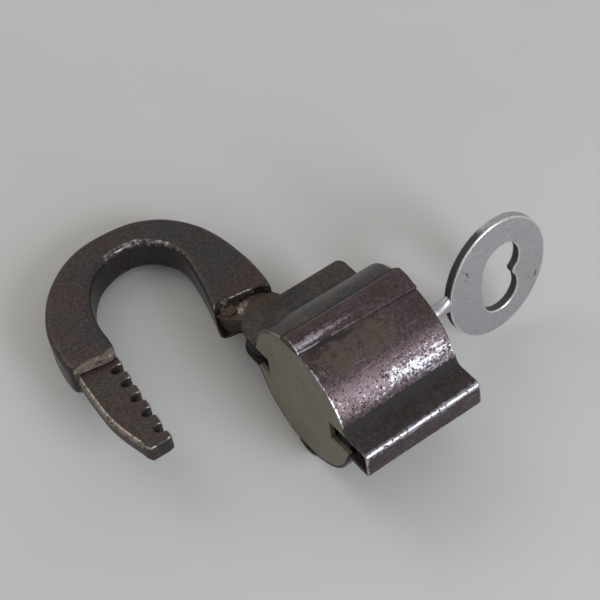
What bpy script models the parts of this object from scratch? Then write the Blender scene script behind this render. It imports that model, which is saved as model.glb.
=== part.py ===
"""Padlock with a toothed, pivoting shackle and its turn key.

A barrel of two bent half shells carries a hinge lip on one side and a slot lip
on the other. The horseshoe shackle turns on a pin in the hinge lip, and its
toothed tongue swings into the slot lip, where a sliding bolt drops into a notch.
The key turns a slotted barrel whose cam draws the bolt back.
"""
import math

import bmesh
import bpy
from mathutils import Matrix

# Lock axes: x from the front face to the rear face, y from the slot lip to the
# hinge lip, z through the thickness. All sizes are in metres.

# One step of the drawn outlines
OUTLINE_STEP = 0.001

# Body
BODY_LENGTH = 0.0282
BARREL_RADIUS = 0.0160
BARREL_Y = 0.0006
SHEET = 0.0007
LIP_HALF = 0.0033
SLOT_LIP_REACH = 0.0224
HINGE_LIP_REACH = 0.0246
VALLEY_FILLET = 0.0018
LIP_EDGE_RADIUS = 0.0010
LIP_REAR_RADIUS = 0.0025
SEAM_GAP = 0.0003
STRIP_LIFT = 0.0001
STRIP_HALF = 0.0037
STRIP_RISE = 0.00155

# Clearances
PLATE_FIT = 0.00012
RUNNING_FIT = 0.00008
SEAT_GAP = 0.00015
PASS_GAP = 0.0003

# End plates and openings
PLATE_THICK = 0.0011
PLATE_SINK = 0.0002
SLOT_MOUTH = 0.0099
HINGE_MOUTH = 0.0112

# Shackle
PIVOT_X = 0.0060
PIVOT_Y = 0.0197
PIVOT_RADIUS = 0.0015
HUB_RADIUS = 0.0054
BAR_HALF = 0.0041
BAR_ROUND = 0.0008
TANG_HALF = 0.0020
TANG_STOP_X = 0.0132
TANG_ROUND = 0.00025
CLOSED_DEG = 102.0
NOTCH_WIDTH = 0.0021
NOTCH_ROUND = 0.00045

# Key and the train behind it
KEY_Y = 0.0008
KEY_Z = 0.0006
SHANK_RADIUS = 0.0017
KEY_TIP_X = 0.0134
BOW_X = 0.0507
BOW_HALF_X = 0.01285
BOW_HALF_Z = 0.01555
BOW_LEAN = -0.10
BOW_THICK = 0.0022
BIT_REACH = 0.0037
BIT_THICK = 0.0012
BIT_LENGTH = 0.0050
BARREL_BODY_R = 0.0042
BARREL_FLANGE_R = 0.0052
BARREL_JOURNAL_R = 0.0021
BARREL_TENON_R = 0.0013
BUSH_WALL = 0.0011

# Bolt and cam
BOLT_THICK = 0.0017
CAM_RADIUS = 0.0042
CAM_THROW = 0.0024
NOSE_HALF = 0.0018
BOLT_RAIL = 0.0015
CARRIER_THICK = 0.0012
PILLAR_RADIUS = 0.0011
GUIDE_THICK = 0.0020
LEAF_THICK = 0.00034
BLOCK_THICK = 0.0012

# Resting attitude on a table
REST_ROLL_DEG = -11.65

STEEL = (0.055, 0.042, 0.040)
RUST = (0.110, 0.055, 0.035)
BRIGHT = (0.480, 0.480, 0.470)
INNER = (0.160, 0.150, 0.140)
SPRING = (0.100, 0.110, 0.140)

for old in list(bpy.data.objects):
    bpy.data.objects.remove(old, do_unlink=True)

scene = bpy.context.scene
parts = bpy.data.collections.new("rusty_padlock")
cutters = bpy.data.collections.new("cutters")
scene.collection.children.link(parts)
scene.collection.children.link(cutters)


def arc(cx, cy, radius, start, end, steps):
    """Points on a circle from one angle to another, in degrees."""
    found = []
    for i in range(steps + 1):
        a = math.radians(start + (end - start) * i / steps)
        found.append((cx + radius * math.cos(a), cy + radius * math.sin(a)))
    return found


def mm(*pairs):
    """Outline points given in steps of the drawing, which are millimetres."""
    return [(x * OUTLINE_STEP, y * OUTLINE_STEP) for x, y in pairs]


def curve_through(points, steps):
    """A smooth open curve through the given points."""
    ends = [points[0]] + list(points) + [points[-1]]
    found = []
    for i in range(1, len(ends) - 2):
        a, b, c, d = ends[i - 1:i + 3]
        for k in range(steps):
            t = k / steps
            w0 = -0.5 * t + t * t - 0.5 * t ** 3
            w1 = 1.0 - 2.5 * t * t + 1.5 * t ** 3
            w2 = 0.5 * t + 2.0 * t * t - 1.5 * t ** 3
            w3 = -0.5 * t * t + 0.5 * t ** 3
            x = w0 * a[0] + w1 * b[0] + w2 * c[0] + w3 * d[0]
            y = w0 * a[1] + w1 * b[1] + w2 * c[1] + w3 * d[1]
            found.append((x, y))
    found.append(points[-1])
    return found


def eased(before, corner, after, radius, steps=3):
    """A rounded corner between two straight edges."""
    ax, ay = before[0] - corner[0], before[1] - corner[1]
    bx, by = after[0] - corner[0], after[1] - corner[1]
    la, lb = math.hypot(ax, ay), math.hypot(bx, by)
    reach = min(radius, 0.45 * la, 0.45 * lb)
    p = (corner[0] + ax / la * reach, corner[1] + ay / la * reach)
    q = (corner[0] + bx / lb * reach, corner[1] + by / lb * reach)
    found = []
    for i in range(steps + 1):
        t = i / steps
        u = 1.0 - t
        x = u * u * p[0] + 2 * u * t * corner[0] + t * t * q[0]
        y = u * u * p[1] + 2 * u * t * corner[1] + t * t * q[1]
        found.append((x, y))
    return found


def turned(point, degrees):
    """A point turned about the shackle pivot."""
    a = math.radians(degrees)
    x, y = point[0] - PIVOT_X, point[1] - PIVOT_Y
    return (PIVOT_X + x * math.cos(a) - y * math.sin(a),
            PIVOT_Y + x * math.sin(a) + y * math.cos(a))


def finish(mesh, smooth_deg=35.0):
    """Merge the seams of a mesh and shade it smooth below an angle."""
    work = bmesh.new()
    work.from_mesh(mesh)
    bmesh.ops.remove_doubles(work, verts=work.verts, dist=1e-6)
    bmesh.ops.recalc_face_normals(work, faces=work.faces)
    work.to_mesh(mesh)
    work.free()
    mesh.shade_smooth()
    mesh.set_sharp_from_angle(angle=math.radians(smooth_deg))
    return mesh


def paint(obj, colour, metallic, roughness):
    """Give an object a material of its own."""
    mat = bpy.data.materials.new(obj.name)
    mat.use_nodes = True
    shader = mat.node_tree.nodes["Principled BSDF"]
    shader.inputs["Base Color"].default_value = (*colour, 1.0)
    shader.inputs["Metallic"].default_value = metallic
    shader.inputs["Roughness"].default_value = roughness
    obj.data.materials.clear()
    obj.data.materials.append(mat)


def place(name, mesh, colour=None, roughness=0.45, metallic=0.9):
    """Link a mesh as a part, or as a cutter when it has no colour."""
    obj = bpy.data.objects.new(name, mesh)
    mesh.name = name
    if colour is None:
        cutters.objects.link(obj)
        obj.hide_render = True
        obj.display_type = "WIRE"
    else:
        parts.objects.link(obj)
        paint(obj, colour, metallic, roughness)
    obj.parent = rest
    return obj


def slab(outline, low, high, holes=()):
    """Mesh of a flat outline extruded from one height to another."""
    data = bpy.data.curves.new("outline", "CURVE")
    data.dimensions = "2D"
    data.fill_mode = "BOTH"
    data.extrude = 0.5 * (high - low)
    for ring in (outline, *holes):
        spline = data.splines.new("POLY")
        spline.points.add(len(ring) - 1)
        for point, (x, y) in zip(spline.points, ring):
            point.co = (x, y, 0.0, 1.0)
        spline.use_cyclic_u = True
    holder = bpy.data.objects.new("outline", data)
    scene.collection.objects.link(holder)
    bpy.context.view_layer.update()
    graph = bpy.context.evaluated_depsgraph_get()
    mesh = bpy.data.meshes.new_from_object(holder.evaluated_get(graph))
    bpy.data.objects.remove(holder, do_unlink=True)
    mesh.transform(Matrix.Translation((0.0, 0.0, 0.5 * (low + high))))
    return finish(mesh)


def across(mesh):
    """Turn a flat outline so that it lies across the lock's length."""
    mesh.transform(Matrix(((0, 0, 1, 0), (1, 0, 0, 0), (0, 1, 0, 0), (0, 0, 0, 1))))
    return mesh


def upright(mesh):
    """Turn a flat outline into the plane of the key's bow."""
    mesh.transform(Matrix(((1, 0, 0, 0), (0, 0, -1, 0), (0, 1, 0, 0), (0, 0, 0, 1))))
    mesh.flip_normals()
    return finish(mesh)


def lathe(profile, steps=48):
    """Mesh of a closed (x, radius) profile swept around the x axis."""
    mesh = bpy.data.meshes.new("profile")
    count = len(profile)
    mesh.from_pydata([(x, r, 0.0) for x, r in profile],
                     [(i, (i + 1) % count) for i in range(count)], [])
    holder = bpy.data.objects.new("profile", mesh)
    scene.collection.objects.link(holder)
    screw = holder.modifiers.new("turn", "SCREW")
    screw.axis = "X"
    screw.steps = steps
    screw.render_steps = steps
    screw.use_merge_vertices = True
    screw.merge_threshold = 1e-6
    bpy.context.view_layer.update()
    graph = bpy.context.evaluated_depsgraph_get()
    found = bpy.data.meshes.new_from_object(holder.evaluated_get(graph))
    bpy.data.objects.remove(holder, do_unlink=True)
    return finish(found)


def rod(x0, x1, radius, hole=0.0, steps=48):
    """Mesh of a plain rod, or of a ring when it has a hole."""
    if hole:
        return lathe([(x0, hole), (x0, radius), (x1, radius), (x1, hole)], steps)
    return across(slab(arc(0.0, 0.0, radius, 0.0, 360.0 - 360.0 / steps, steps - 1), x0, x1))


def standing(radius, low, high, hole=0.0, steps=48):
    """Mesh of a pin or washer that stands along z."""
    ring = arc(0.0, 0.0, radius, 0.0, 360.0 - 360.0 / steps, steps - 1)
    inner = [arc(0.0, 0.0, hole, 0.0, 360.0 - 360.0 / steps, steps - 1)] if hole else []
    return slab(ring, low, high, inner)


def box(low, high):
    """Mesh of a plain box between two corners."""
    outline = [(low[0], low[1]), (high[0], low[1]), (high[0], high[1]), (low[0], high[1])]
    return slab(outline, low[2], high[2])


def boolean(target, tool, operation="DIFFERENCE"):
    """Cut a tool from a target, or join it on."""
    mod = target.modifiers.new(tool.name, "BOOLEAN")
    mod.operation = operation
    mod.solver = "EXACT"
    mod.object = tool


def ease_edges(obj, width, segments=2, angle=40.0):
    """Round the sharp edges of an object."""
    mod = obj.modifiers.new("eased", "BEVEL")
    mod.width = width
    mod.segments = segments
    mod.limit_method = "ANGLE"
    mod.angle_limit = math.radians(angle)
    mod.use_clamp_overlap = True


def half_profile(side, reach, inset):
    """Upper half of a shell's cross-section, from the crest to the lip's edge."""
    radius = BARREL_RADIUS - inset
    fillet = VALLEY_FILLET + inset
    top = LIP_HALF - inset
    edge = max(LIP_EDGE_RADIUS - inset, 0.0002)
    centre_z = LIP_HALF + VALLEY_FILLET
    span = BARREL_RADIUS + VALLEY_FILLET
    centre_y = math.sqrt(span ** 2 - centre_z ** 2)
    meet = math.degrees(math.asin(centre_z / span))
    crest = 90.0 - math.degrees(math.asin(0.5 * SEAM_GAP / radius))
    found = arc(0.0, 0.0, radius, crest, meet, 20)
    found += arc(centre_y, centre_z, fillet, 180.0 + meet, 270.0, 6)[1:]
    found += arc(reach - inset - edge, top - edge, edge, 90.0, 0.0, 4)
    return [(BARREL_Y + side * y, z) for y, z in found]


def shell_outline(side, reach):
    """Closed cross-section of one bent half shell."""
    outer = half_profile(side, reach, 0.0)
    inner = half_profile(side, reach, SHEET)
    lower_outer = [(y, -z) for y, z in reversed(outer)]
    lower_inner = [(y, -z) for y, z in reversed(inner)]
    return outer + lower_outer + list(reversed(inner + lower_inner))


def end_outline(mouths=True):
    """Cross-section of the space inside the shells, less the fit."""
    found = []
    inset = SHEET + PLATE_FIT
    for side, reach, mouth in ((-1, SLOT_LIP_REACH, SLOT_MOUTH), (1, HINGE_LIP_REACH, HINGE_MOUTH)):
        path = half_profile(side, reach, inset)
        if mouths:
            path = path[:25] + [(BARREL_Y + side * mouth, LIP_HALF - SHEET)]
        half = path + [(y, -z) for y, z in reversed(path)]
        if side > 0:
            half.reverse()
        found += half
    return found


def strip_outline(sign):
    """Cross-section of the raised strip that covers the crest seam."""
    under = BARREL_RADIUS + STRIP_LIFT
    edge = math.degrees(math.asin(STRIP_HALF / under))
    foot = math.sqrt(under ** 2 - STRIP_HALF ** 2) + 0.08 * STRIP_RISE
    steps = ((-0.76, 0.5), (-0.35, 0.87), (0.05, 1.0), (0.43, 0.97), (0.65, 0.75), (0.81, 0.3))
    top = [(-STRIP_HALF, foot)]
    for across_part, rise_part in steps:
        y = across_part * STRIP_HALF
        base = math.sqrt(under ** 2 - y ** 2)
        top.append((y, base + rise_part * (BARREL_RADIUS + STRIP_RISE - base)))
    top.append((STRIP_HALF, foot))
    found = top + arc(0.0, 0.0, under, 90.0 - edge, 90.0 + edge, 8)
    return [(BARREL_Y + y, sign * z) for y, z in found]


# Parent that rolls the whole lock onto the two edges it rests on
rest = bpy.data.objects.new("resting_lock", None)
scene.collection.objects.link(rest)
rest.rotation_euler = (math.radians(REST_ROLL_DEG), 0.0, 0.0)

# Places along the length
NOTCHES = mm((-26.1, 31.4), (-26.3, 26.9), (-26.8, 22.2), (-27.1, 17.4), (-27.3, 12.3))
NOTCH_LEAN = 90.0 - CLOSED_DEG
latch_x, latch_y = turned(NOTCHES[len(NOTCHES) // 2], CLOSED_DEG)
bolt_front = latch_x - 0.5 * BOLT_THICK
bolt_rear = latch_x + 0.5 * BOLT_THICK
front_carrier_x = bolt_front - PASS_GAP - CARRIER_THICK
rear_carrier_x = bolt_rear + PASS_GAP
plate_back = PLATE_SINK + PLATE_THICK
rear_face = BODY_LENGTH - PLATE_SINK
rear_plate_x = rear_face - PLATE_THICK
shoulder_x = rear_carrier_x + CARRIER_THICK + SEAT_GAP
flange_x = rear_plate_x - 0.0016

# Shells
slot_shell = place("slot_side_shell", across(slab(shell_outline(-1, SLOT_LIP_REACH), 0.0, BODY_LENGTH)),
                   STEEL, 0.38)
hinge_shell = place("hinge_side_shell", across(slab(shell_outline(1, HINGE_LIP_REACH), 0.0, BODY_LENGTH)),
                    STEEL, 0.45)
hinge_edge = BARREL_Y + HINGE_LIP_REACH
corner_r = hinge_edge - PIVOT_Y
front_corner = arc(corner_r, PIVOT_Y, corner_r, 180.0, 90.0, 12)
front_corner += [(corner_r, hinge_edge + 0.002), (-0.002, hinge_edge + 0.002), (-0.002, PIVOT_Y)]
front_round = place("hinge_lip_front_round", slab(front_corner, -0.006, 0.006))
rear_x = BODY_LENGTH - LIP_REAR_RADIUS
rear_y = hinge_edge - LIP_REAR_RADIUS
rear_corner = arc(rear_x, rear_y, LIP_REAR_RADIUS, 0.0, 90.0, 8)
rear_corner += [(rear_x, hinge_edge + 0.002), (BODY_LENGTH + 0.002, hinge_edge + 0.002),
                (BODY_LENGTH + 0.002, rear_y)]
rear_round = place("hinge_lip_rear_round", slab(rear_corner, -0.006, 0.006))
side_open = place("hinge_lip_side_opening",
                  box((-0.002, hinge_edge - 0.0012, -TANG_HALF - 0.0003),
                      (TANG_STOP_X + SEAT_GAP, hinge_edge + 0.002, TANG_HALF + 0.0003)))
pivot_hole = place("pivot_hole", standing(PIVOT_RADIUS + RUNNING_FIT, -0.006, 0.006))
pivot_hole.location = (PIVOT_X, PIVOT_Y, 0.0)
for tool in (front_round, rear_round, side_open, pivot_hole):
    boolean(hinge_shell, tool)

place("crest_strip_top", across(slab(strip_outline(1), 0.0, BODY_LENGTH)), RUST, 0.5)
place("crest_strip_bottom", across(slab(strip_outline(-1), 0.0, BODY_LENGTH)), RUST, 0.5)

# End plates
place("front_plate", across(slab(end_outline(), PLATE_SINK, plate_back)), STEEL, 0.55)
bush_r = BARREL_BODY_R + RUNNING_FIT + BUSH_WALL
bush_hole = [(KEY_Y + y, KEY_Z + z) for y, z in arc(0.0, 0.0, bush_r + PLATE_FIT, 0.0, 352.5, 47)]
rear_plate = place("rear_plate", across(slab(end_outline(False), rear_plate_x, rear_face, [bush_hole])),
                   STEEL, 0.55)
boolean(rear_plate, rear_round)
bush = place("keyhole_bush", rod(rear_plate_x, rear_face + 0.0003, bush_r, BARREL_BODY_R + RUNNING_FIT),
             INNER, 0.45)
bush.location = (0.0, KEY_Y, KEY_Z)

# Carriers and the pillars that hold them
pillar_r = PILLAR_RADIUS
cam_top = CAM_THROW + CAM_RADIUS
side_swing = CAM_THROW * math.sin(math.radians(45.0))
window_low_z = side_swing - CAM_RADIUS - PASS_GAP
window_high_z = cam_top + PASS_GAP
rail_low = KEY_Z + window_low_z - BOLT_RAIL
rail_high = KEY_Z + window_high_z + BOLT_RAIL
pillar_low = rail_low - PASS_GAP - pillar_r
pillar_high = rail_high + PASS_GAP + pillar_r
pillar_spots = ((0.0058, pillar_high), (-0.0030, pillar_high), (0.0058, pillar_low), (-0.0030, pillar_low))
hole_ring = [[(y + a, z + b) for a, b in arc(0.0, 0.0, pillar_r + PLATE_FIT, 0.0, 345.0, 23)]
             for y, z in pillar_spots]
front_bore = [(KEY_Y + y, KEY_Z + z)
              for y, z in arc(0.0, 0.0, BARREL_TENON_R + RUNNING_FIT, 0.0, 352.5, 47)]
rear_bore = [(KEY_Y + y, KEY_Z + z)
             for y, z in arc(0.0, 0.0, BARREL_JOURNAL_R + RUNNING_FIT, 0.0, 352.5, 47)]
place("front_carrier", across(slab(end_outline(), front_carrier_x, front_carrier_x + CARRIER_THICK,
                                   hole_ring + [front_bore])), INNER, 0.5)
place("rear_carrier", across(slab(end_outline(), rear_carrier_x, rear_carrier_x + CARRIER_THICK,
                                  hole_ring + [rear_bore])), INNER, 0.5)
for letter, (y, z) in zip("abcd", pillar_spots):
    pillar = place("pillar_" + letter,
                   rod(plate_back + SEAT_GAP, rear_plate_x - SEAT_GAP, pillar_r, steps=24), INNER, 0.4)
    pillar.location = (0.0, y, z)

# Guides above and below the tongue, behind the front plate
for name, sign in (("tongue_guide_top", 1), ("tongue_guide_bottom", -1)):
    near = sign * (TANG_HALF + PASS_GAP)
    far = near + sign * GUIDE_THICK
    wall_y = BARREL_Y + PASS_GAP - math.sqrt((BARREL_RADIUS - SHEET) ** 2 - far ** 2)
    place(name, box((plate_back + SEAT_GAP, wall_y, min(near, far)),
                    (front_carrier_x - SEAT_GAP, BARREL_Y - SLOT_MOUTH, max(near, far))), INNER, 0.5)

# Shackle: thick horseshoe, thin tang with hub, thin toothed tongue
outer = curve_through(mm((12.1, 27.3), (12.9, 31.2), (13.2, 39.4), (12.2, 48.6), (9.6, 56.0), (5.2, 61.8),
                         (-0.6, 65.3), (-7.2, 66.5), (-14.0, 66.0), (-19.8, 63.6), (-25.2, 59.2),
                         (-29.4, 53.4), (-31.8, 48.0), (-33.0, 42.4), (-33.4, 38.0), (-33.1, 35.5)), 4)
inner = curve_through(mm((-22.3, 35.8), (-22.0, 38.5), (-21.7, 42.8), (-20.6, 47.6), (-18.4, 52.2),
                         (-14.6, 56.4), (-9.8, 58.7), (-5.0, 59.0), (-1.2, 56.9), (1.4, 53.4), (2.6, 49.4),
                         (2.2, 44.8), (0.9, 38.4), (-0.5, 33.4), (-1.8, 28.9)), 4)
tongue_step = mm((-30.8, 35.0), (-25.8, 34.0), (-24.0, 33.8), (-22.9, 34.4))
hinge_step = mm((0.6, 31.2), (3.2, 30.4), (7.0, 29.8), (10.2, 29.0))
shackle_mesh = slab(outer + tongue_step + inner + hinge_step, -BAR_HALF, BAR_HALF)
shackle_mesh.transform(Matrix.Translation((-PIVOT_X, -PIVOT_Y, 0.0)))
shackle = place("shackle", shackle_mesh, STEEL, 0.45)
shackle.location = (PIVOT_X, PIVOT_Y, 0.0)
ease_edges(shackle, BAR_ROUND, 3, 50.0)

tang_outline = mm((8.0, 33.5), (3.0, 33.5), (1.2, 32.4), (-0.9, 29.7), (0.7, 27.5), (2.7, 25.6))
tang_outline += arc(PIVOT_X, PIVOT_Y, HUB_RADIUS, 122.0, 372.0, 36)
tang_outline += [(TANG_STOP_X, PIVOT_Y + 0.0046), (TANG_STOP_X, PIVOT_Y + 0.0060)]
tang_outline += mm((12.0, 28.2), (10.5, 32.0))
tang = place("shackle_tang", slab(tang_outline, -TANG_HALF, TANG_HALF))
ease_edges(tang, TANG_ROUND)
boolean(shackle, tang, "UNION")


def tooth_edge(y):
    """Where the tips of the teeth lie at a height along the tongue."""
    line = mm((-25.2, 10.3), (-24.8, 14.5), (-24.3, 19.5), (-23.8, 24.5), (-23.2, 29.5), (-22.7, 33.5))
    for (x0, y0), (x1, y1) in zip(line, line[1:]):
        if y <= y1 or (x1, y1) == line[-1]:
            return x0 + (x1 - x0) * (y - y0) / (y1 - y0)


lean = math.radians(NOTCH_LEAN)
along = (math.cos(lean), math.sin(lean))
side = (-along[1], along[0])
corners = []
for root in reversed(NOTCHES):
    half = 0.5 * NOTCH_WIDTH
    centre = (root[0] + half * along[0], root[1] + half * along[1])
    ends = []
    for sign in (-1, 1):
        start = (centre[0] + sign * half * side[0], centre[1] + sign * half * side[1])
        y = start[1]
        for _ in range(4):
            run = (tooth_edge(y) - start[0]) / along[0]
            y = start[1] + run * along[1]
        ends.append((start[0] + run * along[0], y))
    bottom = arc(centre[0], centre[1], half, NOTCH_LEAN + 270.0, NOTCH_LEAN + 90.0, 8)
    corners.append((ends[0], bottom, ends[1]))
tongue_outline = curve_through(mm((-30.6, 38.5), (-32.1, 35.6), (-32.7, 31.4), (-33.0, 26.0), (-33.1, 21.0),
                                  (-32.6, 16.6), (-31.7, 12.4), (-31.1, 10.0)), 3)
tongue_outline += mm((-30.5, 8.8), (-30.2, 8.6), (-26.4, 8.7), (-25.6, 9.1), (-25.25, 9.9))
last = (-0.02525, 0.0099)
for low, bottom, high in corners:
    tongue_outline += eased(last, low, bottom[0], NOTCH_ROUND)
    tongue_outline += bottom
    following = (tooth_edge(high[1] + 0.002), high[1] + 0.002)
    tongue_outline += eased(bottom[-1], high, following, NOTCH_ROUND)
    last = high
tongue_outline += mm((-22.8, 34.0), (-23.5, 38.5))
tongue = place("shackle_tongue", slab(tongue_outline, -TANG_HALF, TANG_HALF))
ease_edges(tongue, TANG_ROUND)
boolean(shackle, tongue, "UNION")
hub_bore = place("hub_bore", standing(PIVOT_RADIUS + RUNNING_FIT, -0.006, 0.006))
hub_bore.location = (PIVOT_X, PIVOT_Y, 0.0)
boolean(shackle, hub_bore)

pin = place("pivot_pin", standing(PIVOT_RADIUS, -LIP_HALF, LIP_HALF), STEEL, 0.4)
pin.location = (PIVOT_X, PIVOT_Y, 0.0)
washer_low = TANG_HALF + 0.00006
washer_high = LIP_HALF - SHEET - 0.00008
for name, low, high in (("pivot_washer_top", washer_low, washer_high),
                        ("pivot_washer_bottom", -washer_high, -washer_low)):
    washer = place(name, standing(0.0036, low, high, PIVOT_RADIUS + RUNNING_FIT), INNER, 0.4)
    washer.location = (PIVOT_X, PIVOT_Y, 0.0)

# Barrel turned by the key, with its cam
barrel_profile = [
    (front_carrier_x - 0.0004, 0.0), (front_carrier_x - 0.0004, BARREL_TENON_R),
    (rear_carrier_x - 0.5 * PASS_GAP, BARREL_TENON_R), (rear_carrier_x - 0.5 * PASS_GAP, BARREL_JOURNAL_R),
    (shoulder_x, BARREL_JOURNAL_R), (shoulder_x, BARREL_BODY_R), (flange_x, BARREL_BODY_R),
    (flange_x, BARREL_FLANGE_R), (rear_plate_x - SEAT_GAP, BARREL_FLANGE_R),
    (rear_plate_x - SEAT_GAP, BARREL_BODY_R), (rear_face, BARREL_BODY_R),
    (rear_face, SHANK_RADIUS + RUNNING_FIT), (KEY_TIP_X - PASS_GAP, SHANK_RADIUS + RUNNING_FIT),
    (KEY_TIP_X - PASS_GAP, 0.0)]
barrel = place("key_barrel", lathe(barrel_profile), INNER, 0.4)
barrel.location = (0.0, KEY_Y, KEY_Z)
half_slot = 0.5 * BIT_THICK + RUNNING_FIT
keyway = place("barrel_keyway",
               box((KEY_TIP_X + 0.0006, -half_slot, -0.0062), (BODY_LENGTH + 0.003, half_slot, -0.0009)))
keyway.location = (0.0, KEY_Y, KEY_Z)
boolean(barrel, keyway)

cam_outline = [(side_swing + a, side_swing + b) for a, b in arc(0.0, 0.0, CAM_RADIUS, 0.0, 354.375, 63)]
cam_hole = arc(0.0, 0.0, BARREL_TENON_R + 0.00005, 0.0, 352.5, 47)
cam = place("barrel_cam", across(slab(cam_outline, bolt_front, bolt_rear, [cam_hole])), INNER, 0.4)
cam.location = (0.0, KEY_Y, KEY_Z)

# Sliding bolt: a frame around the cam with a nose for the notches
lift = 2.0 * side_swing
nose_tip = latch_y + 0.27 * NOTCH_WIDTH + lift
window_top = side_swing + CAM_RADIUS + SEAT_GAP
window_bottom = side_swing - CAM_RADIUS - PASS_GAP
slack_bottom = window_bottom - lift
frame_top = window_top + BOLT_RAIL
frame_bottom = slack_bottom - 0.5 * BOLT_RAIL
frame = [(KEY_Y + frame_top, rail_low), (KEY_Y + frame_top, rail_high), (KEY_Y + frame_bottom, rail_high)]
frame += [(KEY_Y + frame_bottom, NOSE_HALF)]
frame += eased((KEY_Y + frame_bottom, NOSE_HALF), (nose_tip, NOSE_HALF), (nose_tip, -NOSE_HALF), 0.0005)
frame += eased((nose_tip, NOSE_HALF), (nose_tip, -NOSE_HALF), (KEY_Y + frame_bottom, -NOSE_HALF), 0.0005)
frame += [(KEY_Y + frame_bottom, -NOSE_HALF), (KEY_Y + frame_bottom, rail_low)]
window = [(KEY_Y + window_top, KEY_Z + window_low_z), (KEY_Y + window_top, KEY_Z + window_high_z),
          (KEY_Y + slack_bottom, KEY_Z + window_high_z), (KEY_Y + slack_bottom, KEY_Z + window_low_z)]
place("bolt", across(slab(frame, bolt_front, bolt_rear, [window])), INNER, 0.35)

# Leaf spring that presses the bolt toward the tongue, held in a block on the barrel's wall
leaf_y = KEY_Y + frame_top
block_z = -0.58 * BARREL_RADIUS
wall_y = BARREL_Y + math.sqrt((BARREL_RADIUS - SHEET) ** 2 - (block_z - 0.0004) ** 2) - PASS_GAP
block_y = wall_y - BLOCK_THICK
leaf_line = curve_through([(block_y - LEAF_THICK, block_z), (block_y - 2.5 * LEAF_THICK, 0.72 * block_z),
                           (leaf_y + 0.0016, 0.26 * block_z), (leaf_y + 0.0004, 0.0018),
                           (leaf_y + 0.0009, 0.0040)], 5)
leaf = []
for sign in (1, -1):
    run = leaf_line if sign > 0 else list(reversed(leaf_line))
    leaf += [(y + sign * 0.5 * LEAF_THICK, z) for y, z in run]
place("bolt_spring", across(slab(leaf, bolt_front + 0.0001, bolt_rear - 0.0001)), SPRING, 0.3)
place("spring_block", box((front_carrier_x + CARRIER_THICK + SEAT_GAP, block_y, block_z - 0.0004),
                          (rear_carrier_x - SEAT_GAP, wall_y, block_z + 0.0012)), INNER, 0.5)

# Key
key_profile = [(KEY_TIP_X, 0.0), (KEY_TIP_X, SHANK_RADIUS - 0.0003), (KEY_TIP_X + 0.0003, SHANK_RADIUS),
               (BOW_X - BOW_HALF_X - 0.0008, SHANK_RADIUS), (BOW_X - BOW_HALF_X + 0.0012, SHANK_RADIUS + 0.0003),
               (BOW_X - BOW_HALF_X + 0.0022, 0.0008), (BOW_X - BOW_HALF_X + 0.0022, 0.0)]
key = place("key", lathe(key_profile, 40), BRIGHT, 0.25)
key.location = (0.0, KEY_Y, KEY_Z)
c, s = math.cos(BOW_LEAN), math.sin(BOW_LEAN)
oval = []
for a, b in arc(0.0, 0.0, 1.0, 0.0, 356.25, 95):
    x, z = BOW_HALF_X * a, BOW_HALF_Z * b
    oval.append((BOW_X + c * x - s * z, s * x + c * z))
lobe = curve_through(mm((54.7, -0.9), (56.1, 1.1), (56.6, 4.0), (55.6, 6.6), (54.0, 8.1), (51.6, 8.4),
                        (49.0, 7.2), (47.3, 4.6), (46.8, 0.9), (46.7, -3.4), (47.2, -7.0), (48.9, -9.2),
                        (51.6, -9.8), (54.2, -8.6), (55.7, -6.0), (55.6, -3.2), (54.7, -0.9)), 3)[:-1]
bow = place("key_bow", upright(slab(oval, -0.5 * BOW_THICK, 0.5 * BOW_THICK, [lobe])))
bow.location = (0.0, KEY_Y, KEY_Z)
ease_edges(bow, 0.00035)
boolean(key, bow, "UNION")
neck_x = BOW_X - BOW_HALF_X
neck = mm((-2.6, 1.2), (-0.9, 1.75), (0.4, 2.7), (2.6, 5.0), (2.6, -5.0), (0.4, -2.7), (-0.9, -1.75), (-2.6, -1.2))
neck_tool = place("key_neck", upright(slab([(neck_x + x, z) for x, z in neck],
                                           -0.5 * BOW_THICK + 0.0002, 0.5 * BOW_THICK - 0.0002)))
neck_tool.location = (0.0, KEY_Y, KEY_Z)
boolean(key, neck_tool, "UNION")
bit_x = KEY_TIP_X + 0.0012
bit = place("key_bit", box((bit_x, -0.5 * BIT_THICK, -BIT_REACH), (bit_x + BIT_LENGTH, 0.5 * BIT_THICK, -0.0010)))
bit.location = (0.0, KEY_Y, KEY_Z)
boolean(key, bit, "UNION")

# Set the lock down on the table, with its origin at the middle of its footprint
bpy.context.view_layer.update()
graph = bpy.context.evaluated_depsgraph_get()
places = []
for obj in parts.objects:
    shown = obj.evaluated_get(graph)
    places += [obj.matrix_world @ vertex.co for vertex in shown.to_mesh().vertices]
    shown.to_mesh_clear()
low = [min(point[i] for point in places) for i in range(3)]
high = [max(point[i] for point in places) for i in range(3)]
rest.location = (-0.5 * (low[0] + high[0]), -0.5 * (low[1] + high[1]), -low[2])
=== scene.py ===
import math

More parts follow.
